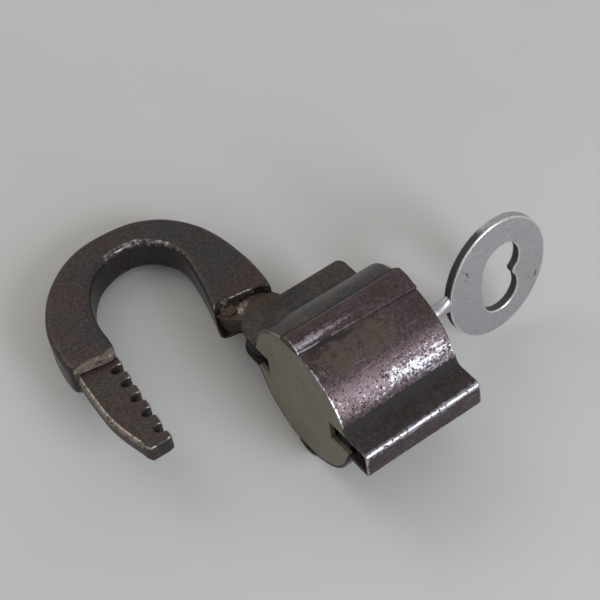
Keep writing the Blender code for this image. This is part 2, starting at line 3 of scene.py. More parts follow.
import bpy
import numpy as np
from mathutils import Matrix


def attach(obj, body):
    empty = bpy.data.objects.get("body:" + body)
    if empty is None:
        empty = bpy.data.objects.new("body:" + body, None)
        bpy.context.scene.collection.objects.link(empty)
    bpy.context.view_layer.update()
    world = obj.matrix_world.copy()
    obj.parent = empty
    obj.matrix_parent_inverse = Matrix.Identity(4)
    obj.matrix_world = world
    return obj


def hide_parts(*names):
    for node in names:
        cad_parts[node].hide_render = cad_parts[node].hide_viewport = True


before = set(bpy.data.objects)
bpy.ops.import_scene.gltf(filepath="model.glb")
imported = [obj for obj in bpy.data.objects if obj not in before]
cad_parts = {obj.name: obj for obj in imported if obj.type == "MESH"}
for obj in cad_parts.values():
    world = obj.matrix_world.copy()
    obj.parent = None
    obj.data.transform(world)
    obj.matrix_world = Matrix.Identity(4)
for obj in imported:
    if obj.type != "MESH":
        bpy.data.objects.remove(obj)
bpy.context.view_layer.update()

bl_info = {
    "name": "Rusty Padlock",
    "version": (1, 0, 0),
    "blender": (4, 5, 0),
    "location": "3D View > Sidebar > Padlock",
    "description": "Makes an old padlock with a toothed shackle, lying open with its key",
    "category": "Add Mesh",
}

# Shapes are drawn in millimetres on the lock's own axes: x from the front face to the rear
# face, y from the slot lip to the hinge lip, z through the thickness.
REST_ROLL = math.radians(-11.65)
REST_PLACE = np.array([-15.0895, -22.0891, 17.586])

# Where the shackle turns, and where the key's axis crosses the front face
PIN = np.array([6.0, 19.7])
KEY_PLACE = np.array([0.0, 0.8, 0.6])

# Orders of axes for outlines that are drawn across the barrel, or in the key's own flat plane
ACROSS_BARREL = ((2, 0, 1), (1.0, 1.0, 1.0))
FLAT_KEY = ((0, 2, 1), (1.0, -1.0, 1.0))


# Sizes and colours

def length(label, text, value):
    """A length that the sidebar shows in the scene's unit."""
    return bpy.props.FloatProperty(name=label, description=text, default=value, min=0.0, unit="LENGTH",
                                   subtype="DISTANCE", precision=5)


def share(label, text, value):
    """A share from none to all."""
    return bpy.props.FloatProperty(name=label, description=text, default=value, min=0.0, max=2.0,
                                   subtype="FACTOR")


def tone(label, text, value):
    """A surface colour."""
    return bpy.props.FloatVectorProperty(name=label, description=text, default=value, size=3, min=0.0,
                                         max=1.0, subtype="COLOR")


class BodySizes(bpy.types.PropertyGroup):
    long: length("Length", "From the front edge of the sheet to the rear edge", 0.0282)
    radius: length("Barrel radius", "Outside radius of the two bent halves", 0.0160)
    middle: length("Barrel offset", "How far the barrel's middle lies toward the hinge", 0.0006)
    sheet: length("Sheet", "Thickness of the bent sheet", 0.0007)
    lip_half: length("Lip half height", "Half the outside height of both lips", 0.0033)
    slot_reach: length("Slot lip reach", "From the barrel's middle to the slot lip's edge", 0.0224)
    hinge_reach: length("Hinge lip reach", "From the barrel's middle to the hinge lip's edge", 0.0246)
    valley: length("Valley radius", "Inside curve between barrel and lip", 0.0018)
    lip_round: length("Lip edge radius", "Outside curve at the edge of a lip", 0.0010)
    raw_edge: length("Raw edge radius", "Rounding of the cut edges of the sheet", 0.00022)
    dent: length("Dent depth", "Deepest wave beaten into the sheet", 0.00014)
    plate: length("Plate thickness", "Thickness of the front end plate", 0.0011)


class ShackleSizes(bpy.types.PropertyGroup):
    half: length("Half thickness", "Half the thickness of the horseshoe", 0.0041)
    round: length("Edge radius", "Rounding of the horseshoe's long edges", 0.0013)
    thin_half: length("Thin half thickness", "Half the thickness of tang and tongue", 0.0020)
    thin_round: length("Thin edge radius", "Rounding of the edges of tang and tongue", 0.00026)
    notch: length("Notch width", "Width of the notches between the teeth", 0.0021)
    uneven: length("Forging marks", "Deepest hammer mark on the horseshoe", 0.00016)


class KeySizes(bpy.types.PropertyGroup):
    shank: length("Shank radius", "Radius of the key's round shank", 0.0017)
    bow_half: length("Bow half thickness", "Half the thickness of the flat bow", 0.0011)
    bow_round: length("Bow edge radius", "Rounding along the rim and the hole", 0.00035)


class Finishes(bpy.types.PropertyGroup):
    steel: tone("Steel", "Dark skin of the horseshoe", (0.064, 0.043, 0.042))
    steel_red: tone("Reddish steel", "Purple-brown skin of the barrel", (0.086, 0.058, 0.067))
    steel_blue: tone("Bluish steel", "Blackened skin of the lips", (0.045, 0.043, 0.044))
    plate: tone("Plate skin", "Dull olive grey of the front plate", (0.165, 0.150, 0.115))
    plate_worn: tone("Rubbed plate", "Lighter grey where the front plate is rubbed", (0.205, 0.185, 0.145))
    # Also the colour of the painted highlights on the barrel, the crest strips, the lip ridge, the hinge
    # shell's flank and the horseshoe's inner rim
    bare: tone("Bare steel", "Steel where the skin is worn away", (0.47, 0.455, 0.50))
    rust_light: tone("Fresh rust", "Orange brown of fresh rust", (0.066, 0.050, 0.035))
    rust_dark: tone("Old rust", "Dark brown of old rust", (0.052, 0.036, 0.029))
    # Colour of the pits, and also of the painted shade in corners, hollows, rims and insides
    soot_and_shade: tone("Grime", "Near black in pits and corners", (0.010, 0.009, 0.009))
    key: tone("Key steel", "Light grey of the key", (0.40, 0.385, 0.405))
    floor: tone("Floor", "Pale grey of the table top", (0.480, 0.480, 0.482))
    edge_wear: share("Edge wear", "How much bare steel shows along edges", 1.0)


class PadlockMaker(bpy.types.PropertyGroup):
    body: bpy.props.PointerProperty(type=BodySizes)
    shackle: bpy.props.PointerProperty(type=ShackleSizes)
    key: bpy.props.PointerProperty(type=KeySizes)
    finish: bpy.props.PointerProperty(type=Finishes)


class InMillimetres:
    """Reads the lengths of a group in millimetres."""

    def __init__(self, sizes):
        self.sizes = sizes

    def __getattr__(self, name):
        return 1000.0 * getattr(self.sizes, name)


# Lines and outlines

def arc(cx, cy, radius, start, end, count):
    """Points of a circle: the centre plus radius times the cosine and sine of evenly spaced angles."""
    a = np.radians(np.linspace(start, end, count))
    return np.stack([cx + radius * np.cos(a), cy + radius * np.sin(a)], 1)


def straight(a, b, count):
    """Points evenly spaced on the line from a to b."""
    return np.linspace(a, b, count)


def even_steps(line, count, closed):
    """The line taken again at equal steps of its own length."""
    if closed:
        line = np.vstack([line, line[:1]])
    run = np.concatenate([[0.0], np.cumsum(np.linalg.norm(np.diff(line, axis=0), axis=1))])
    at = np.linspace(0.0, run[-1], count, endpoint=not closed)
    return np.stack([np.interp(at, run, line[:, i]) for i in range(line.shape[1])], 1)


def smooth_line(points, count, closed=False):
    """Cubic curve through the points, each stretch leaving a point along the line between that
    point's neighbours, then taken at equal steps of its length."""
    p = np.asarray(points, float)
    ends = np.vstack([p[-1:], p, p[:2]]) if closed else np.vstack([p[:1], p, p[-1:]])
    a, b, c, d = ends[:-3], ends[1:-2], ends[2:-1], ends[3:]
    t = np.linspace(0.0, 1.0, 24, endpoint=False)[:, None, None]
    run = 0.5 * (2 * b + (c - a) * t + (2 * a - 5 * b + 4 * c - d) * t ** 2
                 + (3 * b - a - 3 * c + d) * t ** 3)
    fine = run.transpose(1, 0, 2).reshape(-1, p.shape[1])
    if not closed:
        fine = np.vstack([fine, p[-1:]])
    return even_steps(fine, count, closed)


def split_long(outline, most):
    """Closed outline with its long edges divided into equal runs no longer than most."""
    after = np.roll(outline, -1, 0)
    runs = np.maximum(1, np.ceil(np.linalg.norm(after - outline, axis=1) / most)).astype(int)
    start = np.repeat(outline, runs, 0)
    step = np.repeat((after - outline) / runs[:, None], runs, 0)
    place = np.arange(runs.sum()) - np.repeat(np.cumsum(runs) - runs, runs)
    return start + step * place[:, None]


def enclosed(outline):
    """Signed area of a closed outline, half the sum of its cross products."""
    after = np.roll(outline, -1, 0)
    return 0.5 * np.sum(outline[:, 0] * after[:, 1] - outline[:, 1] * after[:, 0])


def inward(outline):
    """Step from each point that moves both its edges inward by one: the sum of the two edge
    normals over one plus their dot product."""
    after = np.roll(outline, -1, 0) - outline
    after /= np.maximum(np.linalg.norm(after, axis=1), 1e-9)[:, None]
    before = np.roll(after, 1, 0)
    n1 = np.stack([-before[:, 1], before[:, 0]], 1)
    n2 = np.stack([-after[:, 1], after[:, 0]], 1)
    return (n1 + n2) / np.maximum(1.0 + np.sum(n1 * n2, 1), 0.45)[:, None]


def bump(value, centre, half):
    """One at the centre, falling as a bell of that half width."""
    return np.exp(-((value - centre) / half) ** 2)


def between(value, low, high, soft):
    """One from low to high, easing to none over soft on either side."""
    up = np.clip((value - low) / soft + 0.5, 0.0, 1.0)
    down = np.clip((high - value) / soft + 0.5, 0.0, 1.0)
    return (up * up * (3 - 2 * up)) * (down * down * (3 - 2 * down))


def lattice_noise(points, pitch, seed):
    """Noise from -1 to 1: corners of a lattice of that pitch get fixed random values, and a point
    takes the mix of its cell's eight corners, eased by 3t^2 - 2t^3."""
    cell = np.asarray(points) / pitch
    base = np.floor(cell).astype(np.int64)
    part = cell - base
    part = part * part * (3.0 - 2.0 * part)
    total = np.zeros(len(cell))
    for corner in range(8):
        step = np.array([corner & 1, corner >> 1 & 1, corner >> 2 & 1])
        code = (base + step) @ np.array([73856093, 19349663, 83492791]) + seed * 40503
        code = (code ^ (code >> 13)) * 1274126177
        code = (code ^ (code >> 16)) & 0xFFFFFF
        total += np.prod(np.where(step, part, 1.0 - part), axis=1) * (code / 8388607.5 - 1.0)
    return total


def layered_noise(points, pitch, seed, layers=3):
    """Sum of lattice noises, each at half the pitch and half the strength of the one before."""
    total = sum(lattice_noise(points, pitch / 2 ** i, seed + i) / 2 ** i for i in range(layers))
    return total / (2.0 - 2.0 ** (1 - layers))


# Solids as stacks of rings

class Stack:
    """Rings of points, with how worn, how rusty and how dark each point is, where the wear also carries
    painted highlights and the darkness mostly painted shade. The first and last ring are capped, or joined
    where the stack closes on itself."""

    def __init__(self, rings, edge, looped=False):
        self.rings = rings
        self.marks = {"edge": edge, "bare": np.zeros_like(edge), "rust": np.zeros_like(edge),
                      "dark": np.zeros_like(edge)}
        self.looped = looped
        self.mirror = None

    def axes(self):
        """The x, y and z of every point."""
        return np.moveaxis(self.rings, 2, 0)

    def noise(self, pitch, seed):
        """Layered noise at every point."""
        return layered_noise(self.rings.reshape(-1, 3), pitch, seed).reshape(self.rings.shape[:2])

    def caps(self, index):
        """Faces that close the first and last ring. Where a ring is alike above and below, each
        point is joined to the one that mirrors it, which keeps a bent end smooth."""
        if self.looped:
            return []
        if self.mirror is None:
            return [index[0].tolist(), index[-1][::-1].tolist()]
        count = len(self.mirror)
        level = np.flatnonzero(np.abs(self.mirror) < 1e-6)[0]
        k = np.arange((count + 1) // 2)
        up, down = (level + k) % count, (level - k) % count
        found = []
        for ring, order in ((index[0], 1), (index[-1], -1)):
            for corners in zip(down[1:], down[:-1], up[:-1], up[1:]):
                face = list(dict.fromkeys(ring[list(corners)].tolist()))
                if len(face) > 2:
                    found.append(face[::order])
        return found

    def volume(self):
        """Signed volume of the solid: a sixth of the sum of a . (b x c) over its triangles."""
        r = self.rings
        nxt = np.roll(r, -1, 0) if self.looped else r[1:]
        own = r if self.looped else r[:-1]
        a, b, c, d = own, nxt, np.roll(nxt, -1, 1), np.roll(own, -1, 1)
        total = np.sum(a * np.cross(b, c)) + np.sum(a * np.cross(c, d))
        if not self.looped:
            for ring, sign in ((r[0], 1.0), (r[-1], -1.0)):
                hub = ring.mean(0)
                total += sign * np.sum(hub * np.cross(ring, np.roll(ring, -1, 0)))
        return total / 6.0

    def roughen(self, depth, pitch, seed, where=1.0):
        """Pushes points inward, along the cross product of the two grid directions, by depth times
        half of one plus noise."""
        r = self.rings
        along = np.roll(r, -1, 0) - np.roll(r, 1, 0) if self.looped else np.gradient(r, axis=0)
        around = np.roll(r, -1, 1) - np.roll(r, 1, 1)
        normal = np.cross(along, around)
        normal /= np.maximum(np.linalg.norm(normal, axis=2), 1e-9)[..., None]
        normal *= np.sign(self.volume())
        amount = 0.5 + 0.5 * self.noise(pitch, seed)
        self.rings = r - normal * (depth * np.clip(amount, 0.0, 1.0) * where)[..., None]
        return self

    def turn_to(self, order, signs):
        """Swaps the axes, for outlines that aren't drawn in x and y."""
        self.rings = self.rings[..., list(order)] * np.array(signs)
        return self


def sweep(outline, low, high, edge, rim=0.0, middle=2, ridge=None, steps=5):
    """Closed outline carried from low to high. At height edge * (1 - cos a) from either end it is
    drawn in by edge * (1 - sin a), which rounds the rim as a quarter circle. Low, high and edge
    may differ from point to point of the outline."""
    outline = np.asarray(outline, float)
    ridge = np.zeros(len(outline)) if ridge is None else ridge
    low, high, edge = (np.broadcast_to(value, len(outline)) for value in (low, high, edge))
    if enclosed(outline) < 0.0:
        outline, ridge, low, high, edge = (part[::-1] for part in (outline, ridge, low, high, edge))
    a = np.linspace(0.0, 0.5 * np.pi, steps)[:, None]
    near, draw, worn = edge * (1 - np.cos(a)), edge * (1 - np.sin(a)), np.ones(steps)
    if rim:
        near = np.vstack([np.zeros(len(outline)), near])
        draw = np.vstack([edge + rim, draw])
        worn = np.append(0.0, worn)
    past = 0.35 if np.min(high - low - 2 * edge) > 0.9 else 0.1
    near = np.vstack([near, edge + past])
    draw = np.vstack([draw, np.zeros(len(outline))])
    worn = np.append(worn, 0.15)
    t = np.linspace(0.0, 1.0, middle + 2)[1:-1, None]
    heights = np.vstack([low + near, (low + edge + past) * (1 - t) + (high - edge - past) * t,
                         high - near[::-1]])
    draws = np.vstack([draw, np.zeros((middle, len(outline))), draw[::-1]])
    worns = np.concatenate([worn, np.zeros(middle), worn[::-1]])
    flat = outline + draws[..., None] * inward(outline)
    rings = np.concatenate([flat, heights[..., None]], 2)
    return Stack(rings, np.maximum(worns[:, None], ridge[None, :]))


def bar_between(inner, outer, half, edge, looped=False, end_edge=0.0, face=9, side=6, bend=None):
    """Rounded rectangle carried along two guide lines. A section point lies at share * width +
    offset from the inner line, and at a height that is rounded near the corners."""
    t = np.linspace(0.0, 1.0, face)
    a = np.linspace(0.0, 0.5 * np.pi, 6)[1:-1]
    s = np.linspace(1.0, -1.0, side)
    c = half - edge
    one, none = np.ones(len(a)), np.zeros(len(a))
    shares = np.concatenate([t, one, np.ones(side), one, t[::-1], none, np.zeros(side), none])
    offset = np.concatenate([edge * (1 - 2 * t), edge * (np.sin(a) - 1), np.zeros(side),
                             edge * (np.cos(a) - 1), edge * (1 - 2 * t[::-1]), edge * (1 - np.sin(a)),
                             np.zeros(side), edge * (1 - np.cos(a))])
    height = np.concatenate([np.full(face, half), c + edge * np.cos(a), c * s, -c - edge * np.sin(a),
                             np.full(face, -half), -c - edge * np.cos(a), -c * s, c + edge * np.sin(a)])
    worn_face = np.where((t < 0.001) | (t > 0.999), 0.8, 0.0)
    worn_side = np.where(np.abs(s) > 0.999, 0.8, 0.0)
    worn = np.concatenate([worn_face, one, worn_side, one, worn_face, one, worn_side, one])
    width = np.linalg.norm(outer - inner, axis=1)
    heading = (outer - inner) / width[:, None]
    count = len(inner)
    draw = np.zeros(count)
    if end_edge:
        middle = 0.5 * (inner + outer)
        run = np.concatenate([[0.0], np.cumsum(np.linalg.norm(np.diff(middle, axis=0), axis=1))])
        gap = np.minimum(np.minimum(run, run[-1] - run), end_edge)
        draw = end_edge - np.sqrt(np.maximum(end_edge ** 2 - (end_edge - gap) ** 2, 0.0))
    reach = shares * width[:, None] + offset
    reach = draw[:, None] + reach * (1.0 - 2.0 * draw / width)[:, None]
    flat = inner[:, None, :] + heading[:, None, :] * reach[..., None]
    if bend is not None:
        flat = flat + bend(reach / width[:, None])
    z = height[None, :] * (1.0 - draw / half)[:, None]
    rings = np.concatenate([flat, z[..., None]], 2)
    mark = np.maximum(worn[None, :], (draw > 0.02)[:, None] * 0.9)
    stack = Stack(rings, mark, looped)
    stack.mirror = height
    return stack


def turned_solid(stations, tall, thick, steps=48):
    """Ellipse carried along x, with its half height and half thickness given at each station."""
    a = np.linspace(0.0, 2.0 * np.pi, steps, endpoint=False)
    x, tall, thick = (value[:, None] for value in (stations, tall, thick))
    rings = np.stack([x + 0.0 * a, thick * np.cos(a), tall * np.sin(a)], 2)
    return Stack(rings, np.zeros(rings.shape[:2]))


def on_table(points):
    """Lock axes to the table's: rolled about x, moved to the lock's place, and put in metres."""
    c, s = math.cos(REST_ROLL), math.sin(REST_ROLL)
    roll = np.array([[1, 0, 0], [0, c, -s], [0, s, c]])
    return (points @ roll.T + REST_PLACE) * 0.001


def make_piece(name, stacks, finish, body, node, sharp=40.0):
    """Joins stacks into one object in metres, faces outward, and sets it on its body in place of
    its node. Edges that turn by more degrees than sharp stay crisp."""
    old = bpy.data.objects.get(name)
    if old:
        bpy.data.objects.remove(old, do_unlink=True)
    places, faces, marks, first = [], [], {}, 0
    for stack in stacks:
        count, around = stack.rings.shape[:2]
        index = first + np.arange(count * around).reshape(count, around)
        rows = np.vstack([index, index[:1]]) if stack.looped else index
        right = np.roll(rows, -1, 1)
        own = np.stack([rows[:-1], rows[1:], right[1:], right[:-1]], -1).reshape(-1, 4)
        caps = stack.caps(index)
        if stack.volume() < 0.0:
            own, caps = own[:, ::-1], [cap[::-1] for cap in caps]
        faces += own.tolist() + caps
        places.append(stack.rings.reshape(-1, 3))
        for mark, values in stack.marks.items():
            marks.setdefault(mark, []).append(values.reshape(-1))
        first += count * around
    mesh = bpy.data.meshes.new(name)
    mesh.from_pydata(on_table(np.vstack(places)), [], faces)
    for mark, values in marks.items():
        layer = mesh.attributes.new(mark, "FLOAT", "POINT")
        layer.data.foreach_set("value", np.concatenate(values).astype(np.float32))
    mesh.update()
    mesh.shade_smooth()
    mesh.set_sharp_from_angle(angle=math.radians(sharp))
    obj = bpy.data.objects.new(name, mesh)
    bpy.context.scene.collection.objects.link(obj)
    obj.data.materials.append(finish)
    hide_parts(node)
    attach(obj, body)
    return obj


# Finishes

class Bench:
    """Puts nodes into a tree and joins them."""

    def __init__(self, tree):
        self.tree = tree

    def put(self, kind, settings=(), **inputs):
        """A node with its settings, and its inputs given as values or as other nodes' outputs."""
        node = self.tree.nodes.new("ShaderNode" + kind)
        for key, value in dict(settings).items():
            setattr(node, key, value)
        for key, value in inputs.items():
            index = int(key[1:]) if key[0] == "i" and key[1:].isdigit() else key.replace("_", " ")
            if isinstance(value, bpy.types.NodeSocket):
                self.tree.links.new(value, node.inputs[index])
            else:
                node.inputs[index].default_value = value
        return node

    def work_out(self, operation, a, b):
        return self.put("Math", {"operation": operation}, i0=a, i1=b).outputs[0]

    def sum(self, a, b):
        return self.work_out("ADD", a, b)

    def less(self, a, b):
        return self.work_out("SUBTRACT", a, b)

    def times(self, a, b):
        return self.work_out("MULTIPLY", a, b)

    def most(self, a, b):
        return self.work_out("MAXIMUM", a, b)

    def ease(self, value, low, high):
        """None at low, all at high, with soft ends. Low may be the larger."""
        settings = {"interpolation_type": "SMOOTHSTEP", "clamp": True}
        return self.put("MapRange", settings, Value=value, From_Min=low, From_Max=high).outputs["Result"]

    def blend(self, share_of_b, a, b):
        settings = {"data_type": "RGBA", "clamp_factor": True}
        return self.put("Mix", settings, i0=share_of_b, i6=a, i7=b).outputs[2]

    def shift(self, share_of_b, a, b):
        settings = {"data_type": "FLOAT", "clamp_factor": True}
        return self.put("Mix", settings, i0=share_of_b, i2=a, i3=b).outputs[0]

    def place(self):
        """Where the point lies on its piece, in millimetres."""
        metres = self.put("TexCoord").outputs["Object"]
        return self.put("VectorMath", {"operation": "SCALE"}, i0=metres, Scale=1000.0).outputs[0]

    def noise(self, place, scale, detail=3.0, roughness=0.55, stretch=None):
        if stretch is not None:
            place = self.put("Mapping", Vector=place, Scale=stretch).outputs[0]
        node = self.put("TexNoise", Vector=place, Scale=scale, Detail=detail, Roughness=roughness)
        return node.outputs["Fac"]

    def cells(self, place, scale):
        return self.put("TexVoronoi", {"feature": "F1"}, Vector=place, Scale=scale)


def shared_group(name, inputs, outputs, wire):
    """A node group, built once: inputs are (name, kind, value), outputs (name, kind), and wire
    gets a bench and the inputs, and returns what leaves by each output."""
    if name in bpy.data.node_groups:
        return bpy.data.node_groups[name]
    tree = bpy.data.node_groups.new(name, "ShaderNodeTree")
    for label, kind, value in inputs:
        socket = tree.interface.new_socket(name=label, in_out="INPUT", socket_type="NodeSocket" + kind)
        if value is not None:
            socket.default_value = value
    for label, kind in outputs:
        tree.interface.new_socket(name=label, in_out="OUTPUT", socket_type="NodeSocket" + kind)
    source = tree.nodes.new("NodeGroupInput")
    sink = tree.nodes.new("NodeGroupOutput")
    found = wire(Bench(tree), {label: source.outputs[label] for label, kind, value in inputs})
    for label, kind in outputs:
        tree.links.new(found[label], sink.inputs[label])
    return tree


def mottled_skin():
    """Two tones in soft clouds, broken by fine grain. All lengths are in millimetres."""
    def wire(b, i):
        clouds = b.noise(i["Place"], i["Cloud"], 4.0, 0.6)
        grain = b.noise(i["Place"], i["Grain"], 3.0, 0.65)
        mixed = b.blend(b.ease(clouds, 0.38, 0.64), i["Tone A"], i["Tone B"])
        shade = b.ease(grain, 0.30, 0.75)
        dark = b.put("HueSaturation", Value=0.62, Color=mixed).outputs[0]
        light = b.put("HueSaturation", Value=1.35, Color=mixed).outputs[0]
        return {"Color": b.blend(i["Contrast"], mixed, b.blend(shade, dark, light)),
                "Height": b.sum(b.times(grain, 0.7), b.times(clouds, 0.3))}
    return shared_group("mottled_skin", [
        ("Place", "Vector", None), ("Tone A", "Color", (0.1, 0.1, 0.1, 1)),
        ("Tone B", "Color", (0.1, 0.1, 0.1, 1)), ("Cloud", "Float", 0.15), ("Grain", "Float", 2.0),
        ("Contrast", "Float", 1.0)],
        [("Color", "Color"), ("Height", "Float")], wire)


def pitting():
    """Round pits of uneven size: a pit is where the distance to the nearest of the scattered
    centres is under a radius that drifts with a coarse noise."""
    def wire(b, i):
        wobble = b.noise(i["Place"], 1.7, 2.0)
        spread = b.put("VectorMath", {"operation": "ADD"}, i0=i["Place"], i1=b.put(
            "TexNoise", Vector=i["Place"], Scale=2.2, Detail=2.0).outputs["Color"]).outputs[0]
        large = b.cells(spread, i["Density"]).outputs["Distance"]
        small = b.cells(spread, b.times(i["Density"], 2.3)).outputs["Distance"]
        limit = b.times(b.ease(wobble, 0.35, 0.72), i["Cover"])
        big = b.ease(large, b.times(limit, 0.62), b.times(limit, 0.30))
        fine = b.ease(small, b.times(limit, 0.50), b.times(limit, 0.22))
        mask = b.most(big, b.times(fine, 0.8))
        return {"Mask": mask, "Height": b.times(mask, -1.0)}
    return shared_group("pitting", [
        ("Place", "Vector", None), ("Density", "Float", 1.0), ("Cover", "Float", 0.6)],
        [("Mask", "Float"), ("Height", "Float")], wire)


def rust_crust():
    """Crust where coarse and fine noise together rise over what the cover leaves free. Its colour
    runs from old to fresh rust with a finer noise."""
    def wire(b, i):
        coarse = b.noise(i["Place"], 0.45, 5.0, 0.62)
        fine = b.noise(i["Place"], 3.2, 4.0, 0.7)
        level = b.sum(b.times(coarse, 0.7), b.times(fine, 0.3))
        start = b.less(0.80, b.times(i["Cover"], 0.55))
        mask = b.ease(level, start, b.sum(start, 0.10))
        colour = b.blend(b.ease(fine, 0.35, 0.68), i["Old"], i["Fresh"])
        return {"Color": colour, "Mask": mask, "Height": b.times(mask, fine)}
    return shared_group("rust_crust", [
        ("Place", "Vector", None), ("Cover", "Float", 0.3), ("Old", "Color", (0.06, 0.03, 0.02, 1)),
        ("Fresh", "Color", (0.2, 0.1, 0.05, 1))],
        [("Color", "Color"), ("Mask", "Float"), ("Height", "Float")], wire)


def worn_places():
    """Bare metal, or a painted highlight, where the wear and sheen carried by the mesh, less a broken noise,
    is over a half.
    """
    def wire(b, i):
        broken = b.noise(i["Place"], 1.1, 5.0, 0.68)
        rubbed = b.noise(i["Place"], 1.0, 3.0, 0.6, (0.18, 2.6, 2.6))
        uneven = b.less(b.sum(b.times(broken, 0.65), b.times(rubbed, 0.35)), 0.5)
        wear_and_sheen = b.sum(i["Wear"], b.times(uneven, 1.7))
        return {"Mask": b.ease(wear_and_sheen, 0.45, 0.85)}
    return shared_group("worn_places", [("Place", "Vector", None), ("Wear", "Float", 0.0)],
                        [("Mask", "Float")], wire)


def hair_scratches():
    """Thin crossing scratches: noise stretched along two directions, kept where it is highest."""
    def wire(b, i):
        one = b.noise(i["Place"], 1.0, 2.0, 0.5, (0.12, 6.0, 1.4))
        turned = b.put("Mapping", Vector=i["Place"], Rotation=(0.3, 0.2, 0.9)).outputs[0]
        two = b.noise(turned, 1.0, 2.0, 0.5, (7.0, 0.15, 1.2))
        mask = b.most(b.ease(one, 0.66, 0.74), b.ease(two, 0.67, 0.75))
        return {"Mask": b.times(mask, i["Amount"])}
    return shared_group("hair_scratches", [("Place", "Vector", None), ("Amount", "Float", 1.0)],
                        [("Mask", "Float")], wire)


def opaque(colour):
    return (*colour, 1.0)


def aged_steel(name, tones, metal=0.75, rough=0.42, cloud=0.16, grain=1.6, contrast=1.0, rust=0.2,
               crust=None, edge=0.8, pits=0.35, pit_density=0.9, scratches=0.4, bare=None, bare_rough=0.26,
               relief=0.5, marked=True):
    """Steel with a dark skin, broken by rust, pits, scratches and worn patches. The mesh's own marks say
    where it is worn or carries a painted highlight, where it is rusty, and where it is grimed or carries
    painted shade, and the groups break up their borders."""
    if name in bpy.data.materials:
        return bpy.data.materials[name]
    look = bpy.context.scene.padlock_maker.finish
    material = bpy.data.materials.new(name)
    material.use_nodes = True
    tree = material.node_tree
    b = Bench(tree)
    shader = tree.nodes["Principled BSDF"]
    place = b.place()

    def mark(label):
        return b.put("Attribute", {"attribute_name": label}).outputs["Fac"] if marked else 0.0

    def group(maker, **inputs):
        return b.put("Group", {"node_tree": maker()}, Place=place, **inputs).outputs

    skin = group(mottled_skin, Tone_A=opaque(tones[0]), Tone_B=opaque(tones[1]), Cloud=cloud, Grain=grain,
                 Contrast=contrast)
    crust_tones = crust or (look.rust_dark, look.rust_light)
    rusty = group(rust_crust, Cover=b.sum(mark("rust"), rust), Old=opaque(crust_tones[0]),
                  Fresh=opaque(crust_tones[1]))
    pitted = group(pitting, Density=pit_density, Cover=b.sum(pits, b.times(mark("bare"), 0.9)))
    # Edge and worn marks, which also carry the painted highlights
    wear_and_sheen = b.sum(b.times(mark("edge"), edge * look.edge_wear), mark("bare"))
    worn = group(worn_places, Wear=wear_and_sheen)
    scored = group(hair_scratches, Amount=scratches)
    # The dark mark is mostly painted shade with a few real stains; with a drifting noise it mixes the colour
    # toward near black
    shade_and_grime_marks = mark("dark")
    drift = b.times(b.less(b.noise(place, 0.9, 4.0, 0.65), 0.5), 0.8)
    grime_and_shade = b.ease(b.sum(shade_and_grime_marks, drift), 0.3, 0.75)

    sound = b.less(1.0, pitted["Mask"])
    shiny = b.times(b.most(worn["Mask"], b.times(scored["Mask"], 0.55)), sound)
    colour = b.blend(rusty["Mask"], skin["Color"], rusty["Color"])
    colour = b.blend(b.times(pitted["Mask"], 0.75), colour, opaque(look.soot_and_shade))
    colour = b.blend(shiny, colour, opaque(bare or look.bare))
    colour = b.blend(b.times(grime_and_shade, 0.9), colour, opaque(look.soot_and_shade))
    roughness = b.shift(rusty["Mask"], b.sum(b.times(skin["Height"], 0.25), rough - 0.125), 0.78)
    roughness = b.shift(shiny, roughness, b.sum(b.times(skin["Height"], 0.2), bare_rough - 0.1))
    roughness = b.shift(b.most(grime_and_shade, pitted["Mask"]), roughness, 0.85)
    metallic = b.shift(rusty["Mask"], metal, 0.15)
    metallic = b.shift(shiny, metallic, 1.0)
    metallic = b.shift(b.most(grime_and_shade, pitted["Mask"]), metallic, 0.1)
    height = b.sum(b.times(skin["Height"], 0.35), b.times(rusty["Height"], 0.6))
    height = b.sum(height, b.times(pitted["Height"], 0.8))
    height = b.less(height, b.times(scored["Mask"], 0.15))
    relief_node = b.put("Bump", Strength=relief, Distance=0.00012, Height=height)
    links = tree.links
    links.new(colour, shader.inputs["Base Color"])
    links.new(roughness, shader.inputs["Roughness"])
    links.new(metallic, shader.inputs["Metallic"])
    links.new(relief_node.outputs["Normal"], shader.inputs["Normal"])
    return material


def maker():
    """The padlock's sizes and finishes."""
    return bpy.context.scene.padlock_maker


# Half shells

BARREL_STEPS = 58
LIP_WEAR = np.array([0.5, 0.9, 1.0, 1.0, 1.0, 1.0, 0.9, 0.6, 0.3])


def half_profile(side, reach, wall):
    """Upper half of a shell's section: barrel arc, valley arc, flat lip and edge arc, each offset
    inward by the wall share of the sheet."""
    s = InMillimetres(maker().body)
    inset = wall * s.sheet
    radius, fillet, top = s.radius - inset, s.valley + inset, s.lip_half - inset
    edge = max(s.lip_round - inset, 0.2)
    centre_z = s.lip_half + s.valley
    span = s.radius + s.valley
    centre_y = math.sqrt(span ** 2 - centre_z ** 2)
    meet = math.degrees(math.asin(centre_z / span))
    crest = 90.0 - math.degrees(math.asin(0.15 / radius))
    lip_y = reach - inset - edge
    line = np.vstack([arc(0.0, 0.0, radius, crest, meet, BARREL_STEPS),
                      arc(centre_y, centre_z, fillet, 180.0 + meet, 270.0, 12)[1:],
                      straight((centre_y, top), (lip_y, top), 10)[1:-1],
                      arc(lip_y, top - edge, edge, 90.0, 0.0, len(LIP_WEAR))])
    return np.stack([s.middle + side * line[:, 0], line[:, 1]], 1)


